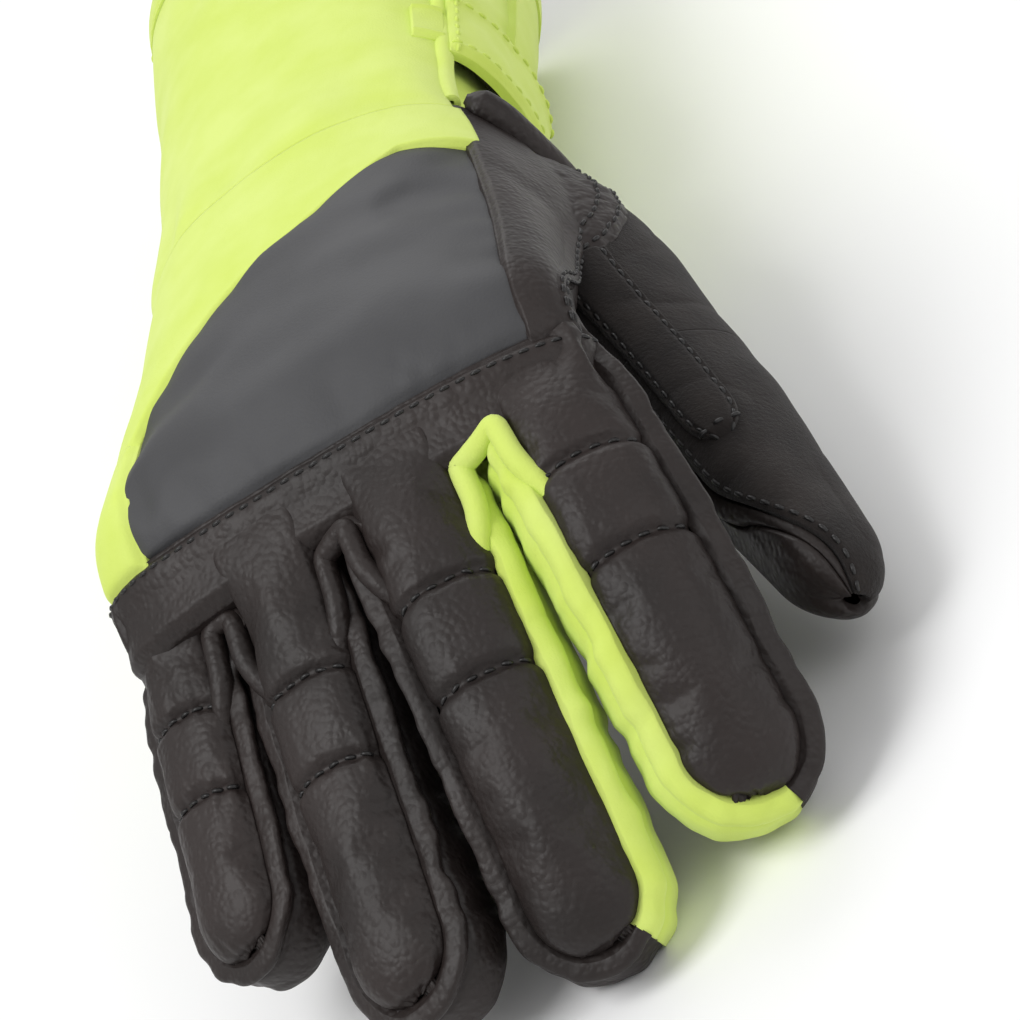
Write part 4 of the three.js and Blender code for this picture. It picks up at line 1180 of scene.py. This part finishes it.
class GLOVE_OT_finger_walls(bpy.types.Operator):
    """Side walls of the fingers with their rolled edges, and the saddles between the fingers"""

    bl_idname = "glove.finger_walls"
    bl_label = "Finger side walls"

    def band(self, look, f, turns, name, material, slot, nodes, seed, rolls, back=6.0):
        """A side wall from one turn round the tip to another; -90 and 90 are the straight sides.
        Each roll is a place up the wall, a width and a height, as shares."""
        web, tip_from = f["web"] - back, end_start(f)
        parts = []
        if turns[0] <= -90:
            parts.append([(turns[0], s) for s in np.linspace(web, tip_from, 150)[:-1]])
        count = 4 + int((turns[1] - turns[0]) / 1.6)
        parts.append([(a, tip_from) for a in np.linspace(turns[0], turns[1], count)])
        if turns[1] >= 90:
            parts.append([(turns[1], s) for s in np.linspace(tip_from, web, 150)[1:]])
        path = np.array([pair for part in parts for pair in part])
        v = np.linspace(0, 1, 37)
        around, v = np.meshgrid(path[:, 0], v, indexing="ij")
        s, _ = np.meshgrid(path[:, 1], v[0], indexing="ij")
        angle = mix(PALM_EDGE, mix(f["edges"][0], f["edges"][1], smooth(-60, 60, around)), v)

        def skin(lift):
            return row(finger_place(f, wall(f, around, s, angle, lift)))

        grid = skin(0.0)
        outward = skin(1.0) - grid
        normals = normals_of(grid, outward)
        run = np.concatenate([[0], np.cumsum(np.linalg.norm(np.diff(grid[:, 18], axis=0), axis=-1))])[:, None]
        sway = 0.035 * noise(stack(run, 0, seed), 7, seed)
        gathers = noise(stack(run, v * 5, seed), 3.2, seed + 2)
        height = look.roll_height / MM
        relief = -1.2 * near(v, 0.05)
        for at, width, share in rolls:
            relief = relief + share * height * near(v - at - sway, width) * (1 + 0.25 * gathers)
            relief = relief - 0.9 * near(v - at + width * 1.35 - sway, width * 0.35)
        if turns[0] <= -90:
            relief = relief - WALL_TUCK * (1 - smooth(0, back + 4, run))
        if turns[1] >= 90:
            relief = relief - WALL_TUCK * (1 - smooth(0, back + 4, run[-1, 0] - run))
        relief = relief + 0.8 + ripples(grid, 9, seed + 4, 0.25) + 0.25 * gathers - 0.5 * near(1 - v, 0.04)
        grid = grid + normals * relief[..., None]
        made = closed_piece(name, grid, grid - normals * SHELL, material)
        soft_blend(made, ("knuckles", f["name"] + "_finger"), finger_reach(f), nodes, slot, 0.6)

    def execute(self, context):
        look = context.scene.glove
        leather, yellow = grain_leather(look), softshell(look)
        black = (leather, "grain_leather")
        bright = (yellow, "yellow_softshell")
        double = [(0.86, 0.085, 1.3), (0.50, 0.13, 1.5), (0.1, 0.32, -2.4)]
        single = [(0.88, 0.08, 1.1), (0.45, 0.22, 0.8)]
        soft = [(0.84, 0.12, 0.8), (0.36, 0.3, 1.1)]
        index, middle, ring, little = FINGERS
        split = BAND_SPLIT
        self.band(look, index, (-90, split["index"]), "Index_wall_little_side", *bright,
                  ("index_wall_little_side",), 401, soft)
        self.band(look, index, (split["index"] - 1, 90), "Index_wall_thumb_side", *black,
                  ("index_wall_thumb_side", "index_outer_wall"), 411, double, 22.0)
        self.band(look, middle, (-90, split["middle"]), "Middle_wall_little_side", *black,
                  ("middle_wall_little_side",), 421, single)
        self.band(look, middle, (split["middle"] - 1, 90), "Middle_wall_thumb_side", *bright,
                  ("middle_wall_thumb_side",), 431, soft)
        self.band(look, ring, (-90, 90), "Ring_wall", *black, ("ring_wall",), 441, single)
        self.band(look, little, (-90, 90), "Little_wall", *black,
                  ("little_wall", "little_outer_wall"), 451, single)
        for k, pair in enumerate(zip(FINGERS, FINGERS[1:])):
            self.web(*pair, k, *(bright if k == 0 else black))
        return {"FINISHED"}

    def web(self, first, second, number, material, slot):
        """The saddle where two walls meet, and the loop that their rolled edges make behind it."""
        name = first["name"] + "_" + second["name"]
        u, v = spread(40, 30)
        angle = mix(PALM_EDGE - 14, 46, v)
        a = row(finger_place(first, wall(first, -90, first["web"] + 2.0, angle, -0.6)))
        b = row(finger_place(second, wall(second, 90, second["web"] + 2.0, angle, -0.6)))
        back = row(finger_place(first, stack(0.0, -first["web"], 0.0))) \
            - row(finger_place(first, stack(0.0, -first["web"] - 1, 0.0)))
        grid = mix(a, b, u[..., None]) + back * np.sin(np.pi * u)[..., None] ** 0.6 * SADDLE_BOW
        normals = normals_of(grid, np.broadcast_to(-back, grid.shape))
        grid = grid + normals * ripples(grid, 5, 460 + number, 0.4)[..., None]
        made = closed_piece("Saddle_" + name, grid, grid - normals * 2.0, material)
        soft_ride(made, "knuckles", ("forchette_" + name,))
        run = np.linspace(first["web"] + WEB_REACH, first["web"] - 1, 50)
        sunk = 1.2 - 4.4 * smooth(first["web"] + 6, first["web"] + WEB_REACH, run)
        one = row(finger_place(first, wall(first, -90, run, first["edges"][0] + 2, sunk)))
        other = row(finger_place(second, wall(second, 90, run, second["edges"][1] + 2, sunk)))
        t = np.linspace(0, 1, 30)[1:-1, None]
        # Nearly straight: the nudge is the same on all three axes and under a millimetre.
        arc = mix(one[-1], other[-1], t) + back[0] * np.sin(np.pi * t) ** 0.7 * WEB_NUDGE
        path = np.concatenate([one, arc, other[::-1]])
        for _ in range(12):
            path[1:-1] = (path[:-2] + 2 * path[1:-1] + path[2:]) / 4
        loop = roll_along("Web_roll_" + name, path, WEB_ROLL + 0.2 * noise(path, 8, 470 + number), material)
        soft_ride(loop, "knuckles", ())


class GLOVE_OT_palm(bpy.types.Operator):
    """Leather of the palm and the thumb side of the hand, with the suede heel pad"""

    bl_idname = "glove.palm"
    bl_label = "Palm"

    def execute(self, context):
        look = context.scene.glove
        leather = grain_leather(look)

        def palm_relief(angle, s, u, v, grid):
            flexes = 1.1 * near(s - 2, 4) + 1.0 * near(s - 55 + 0.12 * (angle - 200), 4)
            return ripples(grid, 11, 501, 0.6) - flexes + seam_dip(u, v, (100, 90), 1.2)

        def side_relief(angle, s, u, v, grid):
            return ripples(grid, 8, 511, 0.6) + seam_dip(u, v, (100, 40), 1.2)

        bodies = ("hand", "knuckles")
        made, _, _ = panel("Palm_leather", folded_skin, PALM_SPAN, (-20.0, BACK_TO + 1.0), (50, 50),
                           leather, palm_relief, fine=3)
        soft_blend(made, bodies, PALM_TO_KNUCKLES, ("palm_leather", "palm_front_leather", "knuckle_flex"),
                   "grain_leather", 0.5)
        made, _, _ = panel("Thumb_side_leather", folded_skin, THUMB_SIDE_SPAN, (-19.0, BACK_TO + 1.0),
                           (50, 20), leather, side_relief)
        soft_blend(made, bodies, PALM_TO_KNUCKLES, ("thumb_side_front", "thumb_side_rear"),
                   "grain_leather", 0.5)

        def pad(angle, s, u, v, grid):
            return 1.9 + 0.25 * noise(grid, 8, 521) + seam_dip(u, v, (50, 60), 1.6)

        made, grid, out = panel("Palm_heel_pad", wrist_skin, HEEL_PAD["angles"], HEEL_PAD["stations"],
                                (30, 36), suede(look), pad, thick=1.5)
        soft_ride(made, "hand", ("palm_heel_pad",))
        lines = [line_on(grid, out, along=0.06), line_on(grid, out, along=0.94),
                 line_on(grid, out, across=0.06), line_on(grid, out, across=0.94)]
        sewn = stitches("Heel_pad_stitches", lines, thread(look), sunk=-0.1)
        soft_ride(sewn, "hand", ())
        return {"FINISHED"}


def wedge_edge(s):
    """How far round towards the thumb the leather wedge reaches, as an angle."""
    return 84 + 19 * smooth(-6, 26, s)


class GLOVE_OT_wedge(bpy.types.Operator):
    """Leather between the reflective panel and the thumb, sewn down over the thumb's suede with two rows"""

    bl_idname = "glove.wedge"
    bl_label = "Thumb wedge"

    def execute(self, context):
        look = context.scene.glove
        steps, fine = (60, 30), 3
        u, v = spread(*steps)
        s = mix(-9.0, BACK_TO + 2.0, u)
        angle = mix(GREY_RIGHT - 3, wedge_edge(s), v)
        lift = lift_over_thumb(angle, s)
        grid = folded_skin(angle, s, lift)
        outward = folded_skin(angle, s, lift + 1.0) - grid
        grid, outward = refine(grid, fine), refine(outward, fine)
        u, v = spread(steps[0] * fine, steps[1] * fine)
        normals = normals_of(grid, outward)
        dip = seam_dip(u, v, (95, 38), 1.3, ends=(True, False))
        relief = 1.5 + ripples(grid * np.array([1, 0.6, 1]), 11, 601, 0.35) + dip
        grid = grid + normals * relief[..., None]
        leather, bodies = grain_leather(look), ("hand", "knuckles")
        made = closed_piece("Thumb_wedge", grid, grid - normals * SHELL, leather)
        soft_blend(made, bodies, HAND_TO_KNUCKLES, ("back_thumb_leather",), "grain_leather", 0.5)
        # Its rear end is rolled and piped where it meets the cuff.
        t = np.linspace(0, 1, 60)
        over = np.interp(t, np.linspace(0, 1, lift.shape[1]), lift[-1]) + 2.6
        path = wrist_skin(mix(GREY_RIGHT + 4, wedge_edge(BACK_TO) + 6, t), BACK_TO + 4 - 5 * t, over)
        roll = roll_along("Wedge_roll", path, 3.6 + 0.4 * noise(path, 7, 620), leather, 24)
        soft_ride(roll, "hand", ())
        lines = [line_on(grid, outward, across=0.95), line_on(grid, outward, across=0.86)]
        sewn = stitches("Wedge_stitches", lines, thread(look), sunk=-0.1)
        soft_blend(sewn, bodies, HAND_TO_KNUCKLES, (), "grain_leather")
        return {"FINISHED"}


def tip_seam(s):
    """The suede's seam on the thumb's palm side, as an angle: it climbs over the thumb towards the tip."""
    return -88 + 72 * smooth(84, 116, s)


class GLOVE_OT_thumb(bpy.types.Operator):
    """Suede thumb with its wear patch, side strip and leather palm side"""

    bl_idname = "glove.thumb"
    bl_label = "Thumb"

    def part(self, name, angles, stations, steps, material, relief, hinge, nodes, slot):
        """One panel of the thumb: its angles may vary along it; its hinge, two bodies and a stretch, is not
        used.
        """
        u, v = spread(*steps)
        s = mix(stations[0], stations[1], u)
        angle = mix(value_at(angles[0], s), value_at(angles[1], s), v)
        grid = thumb_skin(angle, s)
        outward = thumb_skin(angle, s, 1.0) - grid
        normals = normals_of(grid, outward)
        grid = grid + normals * relief(angle, s, v, grid)[..., None]
        made = closed_piece(name, grid, grid - normals * SUEDE, material)
        soft_blend(made, *hinge, nodes, slot, 0.6)
        return grid, outward

    def folds(self, angle, s, grid):
        bulge = 1.0 * near(s - 70, 26) * np.cos(np.radians(np.clip(angle, -90, 90)))
        return bulge + ripples(grid, 15, 701, 0.35)

    def execute(self, context):
        look = context.scene.glove
        napped, leather = suede(look), grain_leather(look)
        root = (("hand", "thumb"), (thumb_axis(8), thumb_axis(48)))
        tip = (("thumb", "thumb_tip"), (thumb_axis(78), thumb_axis(92)))
        rear = (THUMB["heel_at"] + 1, THUMB["flex_from"])
        front = (THUMB["flex_from"], THUMB_LENGTH - 0.4)
        folds = self.folds

        def back(angle, s, v, grid):
            edges = near((angle - tip_seam(s)) * 0.24, 1.0) + near((THUMB_SIDE - angle) * 0.24, 1.0)
            return folds(angle, s, grid) - 0.8 * edges

        def side(angle, s, v, grid):
            rims = near(v, 0.1) + near(1 - v, 0.1)
            return 0.5 * folds(angle, s, grid) - 2.0 + 0.8 * loft(v) - 0.6 * rims

        def palm(angle, s, v, grid):
            rims = near((1 - v) * 60, 1.0) + near(v * 60, 1.0)
            return folds(angle, s, grid) * 0.4 - 2.8 * near(angle + 115, 50) - 0.7 * rims

        def strip_edge(s):
            return tip_seam(s) - THUMB_STRIP

        self.part("Thumb_root", (-THUMB_SIDE, THUMB_SIDE), rear, (130, 120), napped, back, root,
                  ("thumb_root",), "suede")
        grid, out = self.part("Thumb_back", (tip_seam, THUMB_SIDE), front, (150, 120), napped, back, tip,
                              ("thumb_suede", "thumb_flex", "thumb_back_tip"), "suede")
        seam = stitches("Thumb_seam_stitches", [line_on(grid, out, across=0.05)], thread(look), sunk=-0.05)
        soft_blend(seam, *tip, (), "suede")
        self.part("Thumb_side_strip", (strip_edge, tip_seam), front, (150, 24), leather, side, tip,
                  ("thumb_wall",), "grain_leather")
        self.part("Thumb_palm_root", (THUMB_SIDE - 360, -THUMB_SIDE), rear, (110, 100), napped, palm, root,
                  (), "suede")
        self.part("Thumb_palm", (THUMB_SIDE - 360, strip_edge), front, (130, 110), leather, palm, tip,
                  ("thumb_palm", "thumb_palm_tip"), "grain_leather")
        self.wear_patch(look, napped, root)
        return {"FINISHED"}

    def wear_patch(self, look, napped, hinge):
        """A second layer of suede with a rounded end, sewn down all round."""
        at = WEAR_PATCH
        u, v = spread(120, 44)
        s = mix(at["start"], at["end"], u)
        closing = np.sqrt(np.clip(1 - np.clip((s - at["round_from"]) / at["round_by"], 0, 1) ** 2, 0.0, 1))
        angle = at["middle"] + at["half"] * (2 * v - 1) * np.maximum(closing, 0.12)
        grid = thumb_skin(angle, s)
        outward = thumb_skin(angle, s, 1.0) - grid
        normals = normals_of(grid, outward)
        rims = near(v, 0.05) + near(1 - v, 0.05) + near(1 - u, 0.02)
        rows = near(v - at["row"], 0.04) + near(v - 1 + at["row"], 0.04)
        relief = self.folds(angle, s, grid) + 1.5 - 1.5 * rims - 0.5 * rows
        grid = grid + normals * relief[..., None]
        patch = closed_piece("Thumb_wear_patch", grid, grid - normals * 1.2, napped)
        soft_blend(patch, *hinge, ("thumb_wear_patch",), "suede", 0.3)
        lines = [line_on(grid, outward, across=at["row"]), line_on(grid, outward, across=1 - at["row"]),
                 line_on(grid, outward, along=0.955)]
        sewn = stitches("Wear_patch_stitches", lines, thread(look), sunk=-0.05)
        soft_blend(sewn, *hinge, (), "suede")


class GLOVE_OT_strap(bpy.types.Operator):
    """Wrist strap with its hook-and-loop patches and pull tab"""

    bl_idname = "glove.strap"
    bl_label = "Wrist strap"

    def band(self, name, angles, stations, heights, material, body, nodes, slot, seed, soft=True):
        """A flat band round the wrist between two heights over the cuff; a soft one has rolled edges."""

        def relief(angle, s, u, v, grid):
            edge = near(u * 26, 1.4) + near((1 - u) * 26, 1.4) + near(v * 60, 1.4) + near((1 - v) * 60, 1.4)
            flat = heights[1] - 0.9 * np.minimum(edge, 1)
            if not soft:
                return flat
            roll = 0.5 * (near(u * 26 - 2.6, 1.2) + near((1 - u) * 26 - 2.6, 1.2))
            return flat + roll + 0.3 * noise(grid, 5, seed)

        made, grid, out = panel(name, wrist_skin, angles, stations, (20, 36), material, relief,
                                thick=heights[1] - heights[0])
        soft_ride(made, body, nodes)
        return grid, out

    def execute(self, context):
        look = context.scene.glove
        yellow, tape = softshell(look), hook_and_loop(look)
        at, width, start, split = STRAP["at"], STRAP["width"], STRAP["start"], STRAP["split"]
        whole = (float(at), float(at + width))
        inner = (at + 3.0, at + width - 3.0)
        tab = (at + 6.0, at + width - 6.0)
        patch = (start + 4, split - 6)
        self.band("Hook_patch", patch, inner, (0.2, 0.8), tape, "cuff", ("hook_patch",),
                  "hook_and_loop", 1, False)
        self.band("Loop_patch", patch, inner, (0.9, 1.5), tape, "wrist_strap", ("loop_patch",),
                  "hook_and_loop", 2, False)
        end, out = self.band("Wrist_strap_end", (start, split - 2), whole, (1.6, 3.4), yellow, "wrist_strap",
                             ("wrist_strap_end",), "yellow_softshell", 803)
        base, base_out = self.band("Wrist_strap_base", (split, STRAP["end"]), whole, (0.3, 2.4), yellow,
                                   "cuff", ("wrist_strap_base",), "yellow_softshell", 805)
        self.band("Strap_pull_tab", (start - 14, start - 1), tab, (0.9, 2.0), yellow, "wrist_strap",
                  ("strap_pull_tab",), "yellow_softshell", 807)
        for name, grid, way, body in (("Strap_end_stitches", end, out, "wrist_strap"),
                                      ("Strap_base_stitches", base, base_out, "cuff")):
            lines = [line_on(grid, way, along=0.12), line_on(grid, way, along=0.88),
                     line_on(grid, way, across=0.05)]
            sewn = stitches(name, lines, plain("Yellow_thread", look.yellow, 0.6), sunk=-0.05)
            soft_ride(sewn, body, ())
        return {"FINISHED"}


class GLOVE_OT_linings(bpy.types.Operator):
    """Fleece inside the hand, the cuff and each finger"""

    bl_idname = "glove.linings"
    bl_label = "Linings"

    def execute(self, context):
        look = context.scene.glove
        material = fleece(look)

        def sleeve(name, stations, steps, body, nodes, inset):
            u, v = spread(*steps)
            s, angle = mix(stations[0], stations[1], u), 360 * v
            pile = 0.35 * noise(wrist_skin(angle, s), 2.2, 901)
            outer = wrist_skin(angle, s, -inset)
            inner = wrist_skin(angle, s, -inset - LINING + pile)
            inner[:, -1], outer[:, -1] = inner[:, 0], outer[:, 0]
            made = closed_piece(name, outer, inner, material, wrap=True)
            soft_ride(made, body, nodes)

        sleeve("Cuff_lining", (BACK_TO + 22.5, HEM_FROM - 0.3), (80, 160), "cuff", ("cuff_lining",), 3.4)
        sleeve("Hand_lining", (11.5, 23.0), (20, 180), "hand", ("hand_lining",), 2.8)
        for f in FINGERS:
            u, v = spread(90, 60)
            far = end_start(f)
            inset = SHELL + SEAM_GAP
            reach = f["half"] * TIP_ROUND - inset
            cap = np.clip((u - 0.8) / 0.2, 0, 1) * np.pi / 2 * 0.97
            s = np.where(u < 0.8, mix(f["quilt2"] + 1, far, u / 0.8), far + reach * np.sin(cap))
            a = 2 * np.pi * v

            def ring(gap):
                size = np.cos(cap)
                x = (f["half"] - gap) * size * power(np.sin(a), SECTION_POWER)
                z = (f["deep"] - gap) * size * power(np.cos(a), SECTION_POWER)
                return row(finger_place(f, stack(x, -s + gap - inset, z)))

            outer, inner = ring(inset), ring(inset + LINING)
            outer[:, -1], inner[:, -1] = outer[:, 0], inner[:, 0]
            made = closed_piece(f["name"].capitalize() + "_lining", outer, inner, material, wrap=True)
            soft_ride(made, f["name"] + "_finger", (f["name"] + "_lining",))
        return {"FINISHED"}


class GLOVE_OT_stage(bpy.types.Operator):
    """Pale studio floor, soft lights and the camera"""

    bl_idname = "glove.stage"
    bl_label = "Stage"

    def execute(self, context):
        look = context.scene.glove
        scene = context.scene
        bpy.ops.object.select_all(action="DESELECT")
        bpy.ops.mesh.primitive_plane_add(size=FLOOR_SIZE, location=(0, 0, 0))
        floor = context.object
        floor.name = "Studio_floor"
        floor.data.materials.append(plain("Studio_floor_paint", look.floor, 0.9))
        for name, at, size, watts in LIGHTS:
            bpy.ops.object.light_add(type="AREA", location=at)
            light = context.object
            light.name = name + "_light"
            light.data.energy = watts
            light.data.size = size
            light.rotation_euler = (Vector(AIM) - Vector(at)).to_track_quat("-Z", "Y").to_euler()
        world = bpy.data.worlds.new("Studio")
        world.use_nodes = True
        sky = world.node_tree.nodes["Background"]
        sky.inputs["Color"].default_value = (1, 1, 1, 1)
        sky.inputs["Strength"].default_value = SKY
        scene.world = world
        scene.view_settings.view_transform = "Standard"
        bpy.ops.object.camera_add(location=CAMERA["at"])
        camera = context.object
        camera.name = "Camera"
        forward = Vector(CAMERA["forward"]).normalized()
        right = forward.cross(Vector(CAMERA["up"])).normalized()
        camera.rotation_euler = Matrix((right, right.cross(forward), -forward)).transposed().to_euler()
        camera.data.lens = CAMERA["lens"]
        camera.data.sensor_width = CAMERA["sensor"]
        camera.data.clip_end = CAMERA["clip"]
        camera.data.dof.use_dof = False
        scene.camera = camera
        return {"FINISHED"}


BUILD_ORDER = ["reflective_panel", "back_softshell", "cuff", "yoke", "finger_backs", "finger_palms",
               "finger_walls", "palm", "wedge", "thumb", "strap", "linings", "stage"]


class GLOVE_PT_panel(bpy.types.Panel):
    """The glove's pieces and settings"""

    bl_idname = "GLOVE_PT_panel"
    bl_label = "Padded glove"
    bl_space_type = "VIEW_3D"
    bl_region_type = "UI"
    bl_category = "Glove"

    def draw(self, context):
        layout = self.layout
        for name in BUILD_ORDER:
            layout.operator("glove." + name)
        for name in GloveSettings.__annotations__:
            layout.prop(context.scene.glove, name)


CLASSES = [GloveSettings, GLOVE_OT_reflective_panel, GLOVE_OT_back_softshell, GLOVE_OT_cuff, GLOVE_OT_yoke,
           GLOVE_OT_finger_backs, GLOVE_OT_finger_palms, GLOVE_OT_finger_walls, GLOVE_OT_palm, GLOVE_OT_wedge,
           GLOVE_OT_thumb, GLOVE_OT_strap, GLOVE_OT_linings, GLOVE_OT_stage, GLOVE_PT_panel]


def register():
    for cls in CLASSES:
        bpy.utils.register_class(cls)
    bpy.types.Scene.glove = bpy.props.PointerProperty(type=GloveSettings)


def unregister():
    del bpy.types.Scene.glove
    for cls in reversed(CLASSES):
        bpy.utils.unregister_class(cls)


def main():
    """Builds the whole glove."""
    register()
    for name in BUILD_ORDER:
        getattr(bpy.ops.glove, name)()


if __name__ == "__main__":
    main()
